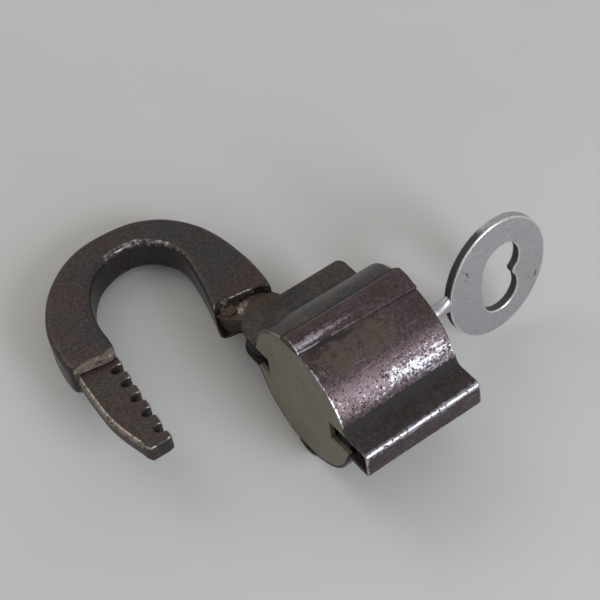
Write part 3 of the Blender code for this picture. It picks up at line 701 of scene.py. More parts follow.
def shell_marks(stack, side):
    """Where the barrel is worn or carries a painted highlight, where it is rusty, and where it is grimed or
    carries painted shade, as bells and plateaus of the length x and of the angle down from the crest."""
    s = InMillimetres(maker().body)
    x, y, z = stack.axes()
    down = np.degrees(np.arctan2(side * (y - s.middle), z))
    out = np.hypot(y - s.middle, z) > s.radius - 0.45 * s.sheet
    ripple = stack.noise(5.0, 11)
    if side < 0:
        # Bright rubbed band below the crest, strongest toward the key: worn steel that also carries a painted
        # highlight along the barrel
        band = bump(down + 6 * ripple - 0.1 * (x - 12.0), 61.5, 15.0)
        stack.marks["bare"] += 0.62 * band * (0.66 + 0.38 * bump(x, 21.0, 10.0)) * out
        stack.marks["bare"] += 0.12 * bump(down, 38.0, 14.0) * out
        # Painted shade in the corner by the key, and brown crust between the band and the crest
        stack.marks["dark"] += 0.42 * between(x, 21.0, 29.0, 3.0) * between(down, 10.0, 42.0, 6.0)
        crust = between(down + 10 * ripple, 8.0, 40.0, 14.0)
        stack.marks["rust"] += 0.60 * crust * between(x, 3.0, 22.0, 9.0)
        stack.marks["rust"] += 0.30 * between(down, 18.0, 36.0, 10.0) * between(x, -1.0, 5.0, 3.0)
        # Scrape at the front edge, and a painted shadow line along the strip's foot
        stack.marks["bare"] += 0.34 * bump(down, 29.0, 9.0) * bump(x, 2.0, 2.6) * out
        foot = bump(down, 12.0, 5.0) * between(x, 1.0, 16.0, 4.0)
        stack.marks["dark"] += 0.85 * foot * (ripple > -0.05)
        # Lip: its edge face, its cut ends and its upper ridge, whose soft bright line is a painted highlight
        stack.marks["bare"] += 0.30 * (y < s.middle - s.slot_reach + 0.3)
        toward_front = between(x, -5.0, 12.0, 14.0) * (0.8 + 0.9 * ripple)
        keep = np.where(z > 0.0, 0.25 + 0.28 * toward_front, 0.15)
        lip = (np.abs(z) < s.lip_half + 0.1) & (y < s.middle - 17.0)
        stack.marks["edge"] = stack.marks["edge"] * np.where(lip, 0.42, keep)
        from_ridge = np.hypot(y - s.middle + s.slot_reach, z - s.lip_half)
        stack.marks["bare"] += 0.34 * bump(from_ridge, 0.0, 1.3)
    else:
        # Rusty shoulder with a painted highlight line along it, darker lip, and a bright, rusty front edge
        stack.marks["rust"] += 0.35 * between(down, 10.0, 60.0, 20.0)
        stack.marks["bare"] += 0.44 * bump(down, 19.0, 9.0) * out
        stack.marks["dark"] += 0.26 * (y > s.middle + 14.0)
        stack.marks["edge"] = stack.marks["edge"] * np.where(down < 60.0, 1.1, 0.6)
        stack.marks["rust"] += 0.6 * (x < 0.8) * (down < 60.0)
    # Painted shade in the valley beside the lip, and all over the inside
    valley = bump(np.abs(z), s.lip_half + 0.9, 1.3) * (np.abs(y - s.middle) > 14.5)
    stack.marks["dark"] += (1.0 if side < 0 else 0.35) * valley
    inside = ~out & (np.hypot(y - s.middle, z) < s.radius)
    stack.marks["dark"] = np.where(inside & (stack.marks["edge"] < 0.5), 0.9, stack.marks["dark"])


def leaf(side, reach, whole):
    """Closed section of a shell, outside then inside, with how worn each point is. Whole joins the
    upper and lower halves through the lip's wall, and otherwise only the upper one is given."""
    outer, inner = half_profile(side, reach, 0.0), half_profile(side, reach, 1.0)
    lip = np.zeros(len(outer))
    lip[-len(LIP_WEAR):] = LIP_WEAR
    none = np.zeros(len(inner))
    if not whole:
        return np.vstack([outer, inner[::-1]]), np.concatenate([lip, none])
    flip = np.array([1.0, -1.0])
    wall_out = straight(outer[-1], outer[-1] * flip, 6)[1:-1]
    wall_in = straight(inner[-1] * flip, inner[-1], 6)[1:-1]
    ring = np.vstack([outer, wall_out, outer[::-1] * flip, inner * flip, wall_in, inner[::-1]])
    flat_wall = np.zeros(len(wall_out))
    return ring, np.concatenate([lip, flat_wall, lip[::-1], none, flat_wall, none])


class PADLOCK_OT_slot_shell(bpy.types.Operator):
    """Half shell with the slot lip that the tongue swings into"""

    bl_idname = "padlock.slot_shell"
    bl_label = "Slot-side shell"

    def execute(self, context):
        s = InMillimetres(maker().body)
        look = maker().finish
        ring, ridge = leaf(-1, s.slot_reach, True)
        stack = sweep(ring, 0.0, s.long, s.raw_edge, middle=64, ridge=ridge).turn_to(*ACROSS_BARREL)
        x, y, z = stack.axes()
        outer_face = np.hypot(y - s.middle, z) > s.radius - 0.5 * s.sheet
        outer_face |= (np.abs(z) > s.lip_half - 0.3) | (y < s.middle - s.slot_reach + 0.3)
        stack.roughen(s.dent, 6.5, 3, outer_face * 1.0)
        shell_marks(stack, -1)
        finish = aged_steel("reddish_barrel_steel", (look.steel_red, look.steel), rough=0.36, rust=0.10,
                            edge=0.85, pits=0.55, pit_density=1.9, scratches=0.3, bare_rough=0.36, relief=0.8)
        make_piece("slot_shell", [stack], finish, "lock", "slot_side_shell")
        return {"FINISHED"}


class PADLOCK_OT_hinge_shell(bpy.types.Operator):
    """Half shell with the rounded lip that holds the shackle's tang. Seen from above, its front
    corner is a quarter circle that starts level with the pin, and its rear corner a smaller one"""

    bl_idname = "padlock.hinge_shell"
    bl_label = "Hinge-side shell"

    def execute(self, context):
        s = InMillimetres(maker().body)
        look = maker().finish
        edge_y = s.middle + s.hinge_reach
        ring, ridge = leaf(1, s.hinge_reach, False)
        front = edge_y - PIN[1]
        past = np.clip(ring[:, 0] - PIN[1], 0.0, front)
        low = front - np.sqrt(front ** 2 - past ** 2)
        rear = 2.5
        past = np.clip(ring[:, 0] - (edge_y - rear), 0.0, rear)
        high = s.long - rear + np.sqrt(rear ** 2 - past ** 2)
        upper = sweep(ring, low, high, s.raw_edge, middle=64, ridge=ridge).turn_to(*ACROSS_BARREL)
        x, y, z = upper.axes()
        outer_face = (np.hypot(y - s.middle, z) > s.radius - 0.5 * s.sheet) | (z > s.lip_half - 0.3)
        upper.roughen(s.dent, 6.5, 5, outer_face * 1.0)
        shell_marks(upper, 1)
        lower = Stack(upper.rings * np.array([1.0, 1.0, -1.0]), upper.marks["edge"])
        lower.marks = {key: value.copy() for key, value in upper.marks.items()}
        mouth = (x < 7.0) & (y > 9.0)
        lower.marks["rust"] += 0.5 * mouth * lower.marks["edge"]
        # Painted shade inside the open mouth at the front
        lower.marks["dark"] += 0.9 * mouth * (z < s.lip_half - 0.35)
        z_end = s.lip_half - s.lip_round + 0.04
        wall_start = 13.35
        wall = [(wall_start, edge_y - s.sheet), (wall_start, edge_y), (s.long - rear, edge_y)]
        wall = np.vstack([wall, arc(s.long - rear, edge_y - rear, rear, 90.0, 40.0, 8)[1:],
                          arc(s.long - rear, edge_y - rear, rear - s.sheet, 40.0, 90.0, 8)])
        side_wall = sweep(split_long(wall, 0.8), -z_end, z_end, 0.1, middle=4)
        finish = aged_steel("blackened_lip_steel", (look.steel_blue, (0.082, 0.068, 0.064)), rough=0.36,
                            rust=0.08, edge=0.5, pits=0.45, scratches=0.3, bare=(0.27, 0.245, 0.225),
                            bare_rough=0.36)
        make_piece("hinge_shell", [upper, lower, side_wall], finish, "lock", "hinge_side_shell")
        return {"FINISHED"}


# Crest strips and front plate

STRIP_TOP = [(-3.7, 15.85), (-2.8, 16.5), (-1.3, 17.25), (0.2, 17.52), (1.6, 17.45), (2.4, 17.05),
             (3.0, 16.3), (3.68, 15.85)]
STRIP_NARROWING = 0.36


class PADLOCK_OT_crest_strips(bpy.types.Operator):
    """Raised strips over the seams along the crest and below. Their slot side narrows toward the
    front in proportion to the distance from the rear"""

    bl_idname = "padlock.crest_strips"
    bl_label = "Crest strips"

    def execute(self, context):
        s = InMillimetres(maker().body)
        look = maker().finish
        top = smooth_line(STRIP_TOP, 30)
        under = s.radius + 0.1
        foot = math.degrees(math.asin(-STRIP_TOP[0][0] / under))
        sole = arc(0.0, 0.0, under, 90.0 - foot, 90.0 + foot, 16)
        ring = np.vstack([top, sole])
        ring[:, 0] += s.middle
        step = np.arange(float(len(top)))
        ridge = np.append(0.5 * bump(step, 10.0, 4.0) + 0.4 * bump(step, 21.0, 2.5), np.zeros(len(sole)))
        finish = aged_steel("strip_steel", (look.steel_red, look.steel), rough=0.33, rust=0.16, edge=0.6,
                            pits=0.6, pit_density=1.5, scratches=0.35, bare=(0.36, 0.335, 0.38),
                            bare_rough=0.34)
        for name, node, sign in (("strip_above", "crest_strip_top", 1),
                                 ("strip_below", "crest_strip_bottom", -1)):
            stack = sweep(ring, 0.0, s.long, 0.2, rim=0.15, middle=48, ridge=ridge)
            stack.turn_to((2, 0, 1), (1, 1, sign))
            high = np.abs(stack.rings[..., 2]) > s.radius + 0.25
            stack.roughen(0.16, 4.0, 17, high * 1.0)
            x, y, z = stack.axes()
            y = y - s.middle
            narrow = 1.0 - STRIP_NARROWING * (1.0 - x / s.long) * (y < 0.0)
            stack.rings[..., 1] = s.middle + y * narrow
            ripple = stack.noise(3.0, 13)
            # Bright streak along the slot-side shoulder and a broader one beside it: painted highlight and
            # sheen, drawn as worn steel
            worn_side = bump(y, -2.5 + 0.03 * x, 0.95) * (0.20 + 0.80 * bump(x, 0.0, 14.0))
            stack.marks["bare"] += 0.56 * worn_side + 0.16 * bump(y, -1.6, 1.3) * between(x, -5.0, 16.0, 8.0)
            stack.marks["edge"] = stack.marks["edge"] * (0.2 + 0.8 * between(x, -5.0, 12.0, 16.0))
            # Painted shadow lines along both feet of the strip, broken on the slot side
            stack.marks["dark"] += 0.9 * bump(y, 3.3, 0.6) + 0.8 * bump(y, -3.5, 0.5) * (ripple > 0.15)
            stack.marks["rust"] += 0.30 * bump(y, 1.6, 1.4) + 0.8 * (x < 0.25)
            make_piece(name, [stack], finish, "lock", node)
        return {"FINISHED"}


def plate_outline():
    """Space inside the shells: their inner profile drawn in by the fit, cut straight across where
    a mouth leaves the lip open."""
    s = InMillimetres(maker().body)
    overlap, valley_steps = 0.15, 5
    found = []
    for side, reach, mouth in ((-1, s.slot_reach, 9.9), (1, s.hinge_reach, 11.2)):
        line = half_profile(side, reach, 1.0 - overlap / s.sheet)[:BARREL_STEPS + valley_steps]
        foot = s.lip_half - s.sheet + 0.02
        upper = np.vstack([line, [(line[-1, 0], foot), (s.middle + side * mouth, foot)]])
        half = np.vstack([upper, (upper * np.array([1.0, -1.0]))[::-1]])
        found.append(half if side < 0 else half[::-1])
    return split_long(np.vstack(found), 0.6)


class PADLOCK_OT_front_plate(bpy.types.Operator):
    """End plate that closes the front of the barrel between the two mouths"""

    bl_idname = "padlock.front_plate"
    bl_label = "Front plate"

    def execute(self, context):
        s = InMillimetres(maker().body)
        look = maker().finish
        stack = sweep(plate_outline(), 0.07, 0.2 + s.plate, 0.1, rim=0.08, middle=1).turn_to(*ACROSS_BARREL)
        stack.roughen(0.05, 9.0, 71)
        finish = aged_steel("dull_plate_steel", (look.plate, look.plate_worn), metal=0.45, rough=0.50,
                            cloud=0.10, grain=1.0, rust=0.10, edge=0.25, pits=0.2, scratches=0.25,
                            relief=0.2, contrast=0.5)
        make_piece("front_end", [stack], finish, "lock", "front_plate")
        return {"FINISHED"}


# Shackle

# Guide lines of the horseshoe from the hinge end to the tongue end. Each step is how far an end
# face moves along y, against the share of the way across the bar.
OUTER_BOW = [(12.1, 27.3), (12.9, 31.2), (13.2, 39.4), (12.2, 48.6), (9.6, 56.0), (5.2, 61.8), (-0.6, 65.3),
             (-7.2, 66.5), (-14.0, 66.0), (-19.8, 63.6), (-25.2, 59.2), (-29.4, 53.4), (-31.8, 48.0),
             (-33.0, 42.4), (-33.4, 38.0), (-33.1, 35.5)]
INNER_BOW = [(-1.8, 28.9), (-0.5, 33.4), (0.9, 38.4), (2.2, 44.8), (2.6, 49.4), (1.4, 53.4), (-1.2, 56.9),
             (-5.0, 59.0), (-9.8, 58.7), (-14.6, 56.4), (-18.4, 52.2), (-20.6, 47.6), (-21.7, 42.8),
             (-22.0, 38.5), (-22.3, 35.8)]
HINGE_STEP = [(0.0, 0.0), (0.17, 2.5), (0.36, 2.05), (0.63, 1.85), (0.86, 1.4), (1.0, 0.0)]
# The edge of the hinge end as seen from above, as rows of x and y
HINGE_END = [(-1.8, 0.6, 1.1, 6.7, 12.1), (28.9, 31.3, 31.4, 29.4, 27.2)]
TONGUE_STEP = [(0.0, 0.0), (0.07, -1.35), (0.16, -1.9), (0.32, -1.7), (0.79, -0.55), (1.0, 0.0)]
HORSESHOE_MIDDLE = (-9.0, 44.0)
NOTCH_ROOTS = [(-26.1, 31.4), (-26.3, 26.9), (-26.8, 22.2), (-27.1, 17.4), (-27.3, 12.3)]
TOOTH_TIPS = np.array([(-25.2, 10.3), (-24.8, 14.5), (-24.3, 19.5), (-23.8, 24.5), (-23.2, 29.5),
                       (-22.7, 33.5)])
TONGUE_BACK = [(-30.6, 38.5), (-32.1, 35.6), (-32.7, 31.4), (-33.0, 26.0), (-33.1, 21.0), (-32.6, 16.6),
               (-31.7, 12.4), (-31.1, 10.0)]
TONGUE_TIP = [(-30.5, 8.8), (-30.2, 8.6), (-26.7, 8.55)]


def horseshoe():
    """The thick bar, between its outer and inner guide lines. Near either end a point is moved
    along y by the step's own line, times the square of how near the end it is. At the hinge end
    it is moved on in step with its depth, which slants the end face."""
    s = InMillimetres(maker().shackle)
    count = 150
    outer, inner = smooth_line(OUTER_BOW, 400), smooth_line(INNER_BOW, 400)
    at = np.linspace(0.0, 1.0, count)
    at = np.sort(np.concatenate([at, [0.0008, 0.0025, 0.005, 0.995, 0.9975, 0.9992]]))
    pick = np.linspace(0.0, 1.0, 400)
    outer = np.stack([np.interp(at, pick, outer[:, i]) for i in (0, 1)], 1)
    inner = np.stack([np.interp(at, pick, inner[:, i]) for i in (0, 1)], 1)

    def step(across):
        along = np.zeros_like(across)
        for line, near in ((HINGE_STEP, np.clip(1.0 - at / 0.07, 0.0, 1.0)),
                           (TONGUE_STEP, np.clip(1.0 - (1.0 - at) / 0.06, 0.0, 1.0))):
            share_across, move = np.array(line).T
            along += np.interp(across, share_across, move) * (near ** 2)[:, None]
        return np.stack([np.zeros_like(along), along], 2)

    stack = bar_between(inner, outer, s.half, s.round, end_edge=0.7, face=14, side=9, bend=step)
    x, y, z = stack.axes()
    near = np.clip(1.0 - (y - np.interp(x, *HINGE_END)) / 9.0, 0.0, 1.0)
    reach = np.interp(x, [-1.8, 0.8, 6.7, 10.0, 12.2], [0.8, 3.6, 2.8, 1.4, 0.2])
    stack.rings[..., 1] = y - (x > -6.0) * near ** 2 * reach * 0.5 * (1.0 - z / s.half)
    return stack.roughen(s.uneven, 7.0, 23)


def tooth_line(y):
    """Where the tips of the teeth lie at a height along the tongue."""
    return np.interp(y, TOOTH_TIPS[:, 1], TOOTH_TIPS[:, 0])


def rounded_corner(before, corner, after, radius):
    """Quarter bend in place of a corner: the quadratic curve from one edge to the other."""
    before, corner, after = (np.asarray(p, float) for p in (before, corner, after))
    back, on = before - corner, after - corner
    start = corner + back * min(radius / np.linalg.norm(back), 0.45)
    end = corner + on * min(radius / np.linalg.norm(on), 0.45)
    t = np.linspace(0.0, 1.0, 6)[:, None]
    return (1 - t) ** 2 * start + 2 * t * (1 - t) * corner + t ** 2 * end


def tongue_outline():
    """Outer back as a smooth curve, blunt tip, then for each notch a corner, half a circle at the
    root and a corner."""
    s = InMillimetres(maker().shackle)
    lean = math.radians(-12.0)
    along = np.array([math.cos(lean), math.sin(lean)])
    side = np.array([-along[1], along[0]])
    half = 0.5 * s.notch
    rows = [smooth_line(TONGUE_BACK, 40), np.array(TONGUE_TIP)]
    last = np.array([-25.1, 8.75])
    for root in reversed(NOTCH_ROOTS):
        centre = np.array(root) + half * along
        ends = []
        for sign in (-1, 1):
            start = centre + sign * half * side
            y = start[1]
            # Four rounds bring the notch's side onto the line of the tooth tips
            for _ in range(4):
                run = (tooth_line(y) - start[0]) / along[0]
                y = start[1] + run * along[1]
            ends.append(start + run * along)
        bottom = arc(centre[0], centre[1], half, 258.0, 78.0, 14)
        following = np.array([tooth_line(ends[1][1] + 2.0), ends[1][1] + 2.0])
        if len(rows) == 2:
            rows.append(rounded_corner(TONGUE_TIP[-1], last, ends[0], 0.9)[:-1])
        rows += [rounded_corner(last, ends[0], bottom[0], 1.0)[1:-1], bottom,
                 rounded_corner(bottom[-1], ends[1], following, 0.9)[1:-1]]
        last = ends[1]
    rows.append(np.array([(-22.8, 34.0), (-23.5, 38.5)]))
    return split_long(np.vstack(rows), 0.5)


def tongue_edges(outline):
    """Rounding at each point of the outline: wide along the back, small at the teeth, and never
    over 0.55 of the radius of the outline's own bend there."""
    s = InMillimetres(maker().shackle)
    back = between(tooth_line(outline[:, 1]) - outline[:, 0], 4.6, 30.0, 1.0)
    edge = s.thin_round + 0.55 * back * between(outline[:, 1], 10.5, 60.0, 1.5)
    way = np.roll(outline, -1, 0) - outline
    before = np.roll(way, 1, 0)
    turn = np.arctan2(before[:, 0] * way[:, 1] - before[:, 1] * way[:, 0], (before * way).sum(1))
    turn = np.maximum(turn * np.sign(enclosed(outline)), 1e-3)
    radius = 0.5 * (np.hypot(*way.T) + np.hypot(*before.T)) / turn
    radius = np.min([np.roll(radius, k) for k in (-2, -1, 0, 1, 2)], 0)
    edge = np.maximum(np.minimum(edge, 0.55 * radius - 0.03), 0.05)
    return np.mean([np.roll(edge, k) for k in (-1, 0, 1)], 0)


def tang_guides():
    """Outline of the tang and of the hole for the pin, both taken at the same angles about the
    pin, so that the flat between them is ruled by straight lines."""
    hub_radius, hole_radius = 5.4, 1.6
    bow_side = [(8.0, 33.5), (3.0, 33.5), (1.2, 32.4), (-0.9, 29.7), (0.4, 27.5), (2.4, 25.6)]
    rear_side = [(13.2, 24.3), (13.2, 25.7), (12.0, 28.2), (10.5, 32.0)]
    outline = split_long(np.vstack([bow_side, arc(*PIN, hub_radius, 122.0, 372.0, 60), rear_side]), 0.7)
    heading = outline - PIN
    return PIN + hole_radius * heading / np.linalg.norm(heading, axis=1)[:, None], outline


def crust_lump(centre, reach, seed, bright):
    """Lump of crust: an ellipsoid whose radii are scaled by one plus noise of the direction. Its
    top is worn bright by the share given."""
    a = np.linspace(0.02, np.pi - 0.02, 26)[:, None]
    c = np.linspace(0.0, 2.0 * np.pi, 40, endpoint=False)[None, :]
    ball = np.stack([np.sin(a) * np.cos(c), np.sin(a) * np.sin(c), np.cos(a) * np.ones_like(c)], 2)
    scale = 1.0 + 0.30 * layered_noise(ball.reshape(-1, 3) * 3.0 + seed, 1.3, seed).reshape(ball.shape[:2])
    rings = ball * scale[..., None] * np.array(reach) + np.array(centre)
    stack = Stack(rings, np.full(ball.shape[:2], 0.35))
    stack.marks["rust"] += 1.0
    stack.marks["bare"] += bright * (ball[..., 2] > 0.2)
    return stack


# Middle, half lengths, seed and bright share of each lump on the tang
TANG_LUMPS = [((2.2, 28.6, 1.9), (1.5, 1.3, 1.1), 41, 0.0), ((3.9, 27.6, 1.7), (1.1, 1.4, 0.8), 43, 0.5),
              ((0.9, 29.6, 1.2), (1.2, 1.3, 1.9), 45, 0.25), ((7.4, 28.9, 1.7), (3.2, 0.7, 0.6), 47, 0.0),
              ((5.4, 28.6, 1.5), (1.6, 1.1, 0.9), 48, 0.4)]


class PADLOCK_OT_shackle(bpy.types.Operator):
    """Horseshoe bar, toothed tongue and tang of the shackle"""

    bl_idname = "padlock.shackle"
    bl_label = "Shackle"

    def execute(self, context):
        s = InMillimetres(maker().shackle)
        look = maker().finish
        bar = horseshoe()
        x, y, z = bar.axes()
        from_middle = np.hypot(x - HORSESHOE_MIDDLE[0], y - HORSESHOE_MIDDLE[1])
        # Painted highlight along part of the inner top rim, drawn as worn steel
        inner_rim = bar.marks["edge"] * between(x, -24.0, 4.0, 4.0) * (y > 44.0)
        painted_highlight_run = between(x, -11.5, 3.6, 2.5) * between(y, 46.0, 61.0, 3.0)
        bar.marks["bare"] += 0.30 * inner_rim * painted_highlight_run * (from_middle < 17.5)
        tongue_end = between(y, 30.0, 35.6, 0.8) * (x < -20.0)
        hinge_end = (y - np.interp(x, *HINGE_END) < 0.75) * (x > -6.0)
        bar.marks["rust"] += 0.75 * tongue_end
        bar.marks["bare"] += 0.06 * tongue_end
        bar.marks["edge"] = bar.marks["edge"] * (1.0 + 0.7 * tongue_end + 1.3 * hinge_end * (z > 0.5))
        # Painted shade on the inner side wall of the horseshoe
        bar.marks["dark"] += 0.35 * (np.abs(z) < s.half - 0.9) * (from_middle < 16.5)
        bar_steel = aged_steel("horseshoe_steel", (look.steel, look.steel_blue), rough=0.36, cloud=0.08,
                               rust=0.05, edge=0.26, pits=0.28, pit_density=1.1, scratches=0.18,
                               relief=0.32, bare=(0.40, 0.37, 0.37), bare_rough=0.34,
                               crust=((0.066, 0.050, 0.038), (0.17, 0.135, 0.105)))
        make_piece("horseshoe_bar", [bar], bar_steel, "shackle", "shackle")

        outline = tongue_outline()
        tongue = sweep(outline, -s.thin_half, s.thin_half, tongue_edges(outline), rim=0.03, middle=3)
        tongue.roughen(0.06, 1.6, 31)
        x, y, z = tongue.axes()
        # Painted shade on the walls inside the notch roots
        root = between(tooth_line(y) - x, 0.75, 3.6, 0.5)
        tongue.marks["dark"] += 0.9 * root * (np.abs(z) < s.thin_half - 0.3)
        tooth = between(tooth_line(y) - x, -1.0, 1.3, 0.4)
        tongue.marks["edge"] = tongue.marks["edge"] * (1.0 - 0.75 * root + 0.6 * tooth)
        tongue.marks["rust"] += 0.3 * between(y, 6.0, 14.0, 4.0)
        tongue_steel = aged_steel("tongue_steel", (look.steel, (0.056, 0.050, 0.042)), rough=0.43,
                                  cloud=0.18, rust=0.13, edge=0.72, pits=0.55, pit_density=1.2,
                                  scratches=0.35, bare=(0.30, 0.265, 0.235), bare_rough=0.40)
        corner = crust_lump((-31.9, 35.3, 0.9), (0.8, 0.8, 1.2), 57, 0.2)
        make_piece("toothed_tongue", [tongue, corner], tongue_steel, "shackle", "shackle")

        hole, outline = tang_guides()
        tang = bar_between(hole, outline, s.thin_half, 0.3, looped=True, face=12, side=5)
        x, y, z = tang.axes()
        tang.marks["rust"] += 0.60 * between(y, 22.0, 40.0, 3.0) * (z > -0.5)
        # Painted shade on the tang's sides, and darker painted shade on its part inside the body
        tang.marks["dark"] += 0.45 * (np.abs(z) < s.thin_half - 0.3) + 0.8 * (y < 24.0) * (x < 9.0)
        outside_lip = np.clip((np.hypot(x - PIN[0], y - PIN[1]) - 5.6) / 1.5, 0.0, 1.0)
        tang.roughen(0.18, 2.2, 53, outside_lip)
        lumps = [crust_lump(*row) for row in TANG_LUMPS]
        tang_steel = aged_steel("tang_steel", (look.steel, look.rust_dark), rough=0.46, cloud=0.3, rust=0.26,
                                edge=0.6, pits=0.5, scratches=0.2, relief=0.9, bare=(0.36, 0.31, 0.28),
                                bare_rough=0.36, crust=((0.040, 0.028, 0.024), (0.100, 0.063, 0.046)))
        make_piece("hinge_tang", [tang] + lumps, tang_steel, "shackle", "shackle")
        return {"FINISHED"}


# Key

BOW_HOLE = [(54.7, -0.9), (56.1, 1.1), (56.6, 4.0), (55.6, 6.6), (54.0, 8.1), (51.6, 8.4), (49.0, 7.2),
            (47.3, 4.6), (46.8, 0.9), (46.7, -3.4), (47.2, -7.0), (48.9, -9.2), (51.6, -9.8), (54.2, -8.6),
            (55.7, -6.0), (55.6, -3.2)]


BOW_LEAN = -0.10
# Shank from tip to bow: station, then what is added to its radius in the height and the thickness
SHANK = np.array([(13.4, -0.5, -0.5), (13.5, -0.2, -0.2), (13.7, -0.04, -0.04), (14.2, 0.0, 0.0),
                  (33.6, 0.0, 0.0), (34.8, -0.08, -0.04), (35.8, -0.1, -0.18), (36.8, 0.05, -0.35),
                  (37.8, 0.4, -0.5), (38.8, 1.2, -0.62), (39.8, 2.2, -0.7), (40.6, 2.7, -0.75)])
BIT = np.array([(14.6, -3.7), (19.6, -3.7), (19.6, -1.0), (14.6, -1.0)])
# Stains on the bow: x, height and half width
STAINS = ((42.3, 6.5, 2.2), (41.0, 0.5, 2.0), (60.5, -5.0, 2.6), (59.0, 3.5, 1.6))


def bow_guides():
    """Rim and hole of the bow, both taken at the same angles about a point inside the hole. The rim
    is an oval: its half lengths times the cosine and sine of an angle, leaned in its own plane."""
    hub = np.array([50.6, -0.7])
    hole = smooth_line(BOW_HOLE, 600, closed=True)
    a = np.linspace(0.0, 2.0 * np.pi, 600, endpoint=False)
    oval = np.stack([12.85 * np.cos(a), 15.55 * np.sin(a)], 1)
    c, s = math.cos(BOW_LEAN), math.sin(BOW_LEAN)
    oval = oval @ np.array([[c, s], [-s, c]]) + np.array([50.7, 0.0])
    want = np.linspace(-np.pi, np.pi, 150, endpoint=False)
    found = []
    for line in (hole, oval):
        off = line - hub
        angle = np.arctan2(off[:, 1], off[:, 0])
        order = np.argsort(angle)
        reach = np.interp(want, angle[order], np.hypot(off[:, 0], off[:, 1])[order], period=2.0 * np.pi)
        found.append(hub + reach[:, None] * np.stack([np.cos(want), np.sin(want)], 1))
    return found


class PADLOCK_OT_key(bpy.types.Operator):
    """Key with a round shank, flat oval bow and plain bit"""

    bl_idname = "padlock.key"
    bl_label = "Key"

    def execute(self, context):
        s = InMillimetres(maker().key)
        look = maker().finish
        hole, rim = bow_guides()
        bow = bar_between(hole, rim, s.bow_half, s.bow_round, looped=True, face=12, side=5)
        bow.turn_to(*FLAT_KEY)
        bow.roughen(0.05, 6.0, 61)
        x, tall, thick = SHANK.T
        fine = np.sort(np.concatenate([np.linspace(x[3], x[-1], 60), x[:4]]))
        shank = turned_solid(fine, s.shank + np.interp(fine, x, tall), s.shank + np.interp(fine, x, thick))
        bit = sweep(split_long(BIT, 0.4), -0.6, 0.6, 0.15, rim=0.2, middle=2).turn_to(*FLAT_KEY)
        for stack in (bow, shank, bit):
            stack.rings = stack.rings + KEY_PLACE
        shank.marks["bare"] += 0.22
        bx, by, bz = bow.axes()
        # Painted shade on the bow's rim faces, strongest toward the shank and around the hole
        shaded_rim = 0.25 + 0.75 * between(bx, 30.0, 47.0, 9.0)
        shaded_rim += 0.65 * (np.hypot(bx - 51.7, 0.9 * bz) < 10.3)
        speck = bow.noise(0.7, 67) > 0.18
        for stain_x, stain_z, reach in STAINS:
            bow.marks["dark"] += 0.9 * speck * bump(np.hypot(bx - stain_x, bz - stain_z), 0.0, reach)
        bow.marks["dark"] += shaded_rim * (np.abs(by - KEY_PLACE[1]) < s.bow_half - 0.3)
        finish = aged_steel("key_steel", (look.key, look.key), metal=0.85, rough=0.38, cloud=0.05, grain=1.4,
                            rust=0.0, edge=0.80, pits=0.46, pit_density=0.8, scratches=0.35, bare_rough=0.24,
                            bare=(0.76, 0.76, 0.77), relief=0.25, contrast=0.22)
        make_piece("turn_key", [bow, shank, bit], finish, "key", "key")
        return {"FINISHED"}


# Inner works and the stage

class PADLOCK_OT_inner_works(bpy.types.Operator):
    """Finishes for the pieces whose solids are shown as they are"""

    bl_idname = "padlock.inner_works"
    bl_label = "Inner works"

    def execute(self, context):
        look = maker().finish
        plain = dict(marked=False, scratches=0.3)
        end = aged_steel("rear_plate_steel", (look.plate, (0.110, 0.096, 0.080)), metal=0.5, rough=0.5,
                         rust=0.25, pits=0.3, relief=0.3, **plain)
        oiled = aged_steel("oiled_steel", ((0.16, 0.15, 0.14), (0.09, 0.08, 0.07)), rough=0.38, rust=0.10,
                           pits=0.2, relief=0.2, **plain)
        turned_steel = aged_steel("turned_steel", ((0.26, 0.25, 0.24), (0.16, 0.15, 0.14)), rough=0.32,
                                  rust=0.08, pits=0.15, relief=0.2, **plain)
        pin_steel = aged_steel("pin_steel", (look.steel_blue, look.steel), rough=0.4, rust=0.25, pits=0.3,
                               relief=0.3, **plain)
        spring = aged_steel("blued_spring", ((0.05, 0.06, 0.10), (0.07, 0.06, 0.08)), rough=0.3, rust=0.04,
                            pits=0.1, relief=0.15, **plain)
        special = {"rear_plate": end, "pivot_pin": pin_steel, "bolt_spring": spring,
                   "key_barrel": turned_steel, "keyhole_bush": turned_steel, "barrel_cam": turned_steel,
                   "bolt": turned_steel}
        for name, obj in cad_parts.items():
            for place in obj.material_slots:
                place.material = special.get(name, oiled)
        return {"FINISHED"}


def floor_finish():
    """Pale painted board with faint clouds and a few faint smudges."""
    look = maker().finish
    material = bpy.data.materials.new("pale_board")
    material.use_nodes = True
    b = Bench(material.node_tree)
    shader = material.node_tree.nodes["Principled BSDF"]
    place = b.place()
    base = np.array(look.floor)
    clouds = b.ease(b.noise(place, 0.012, 3.0, 0.5), 0.3, 0.7)
    smudge = b.ease(b.noise(place, 0.09, 4.0, 0.6), 0.66, 0.80)
    colour = b.blend(clouds, opaque(base * 0.985), opaque(np.minimum(base * 1.02, 1.0)))
    colour = b.blend(b.times(smudge, 0.35), colour, opaque(base * np.array([0.86, 0.86, 0.84])))
    material.node_tree.links.new(colour, shader.inputs["Base Color"])
    shader.inputs["Roughness"].default_value = 0.6
    shader.inputs["Specular IOR Level"].default_value = 0.25
    return material


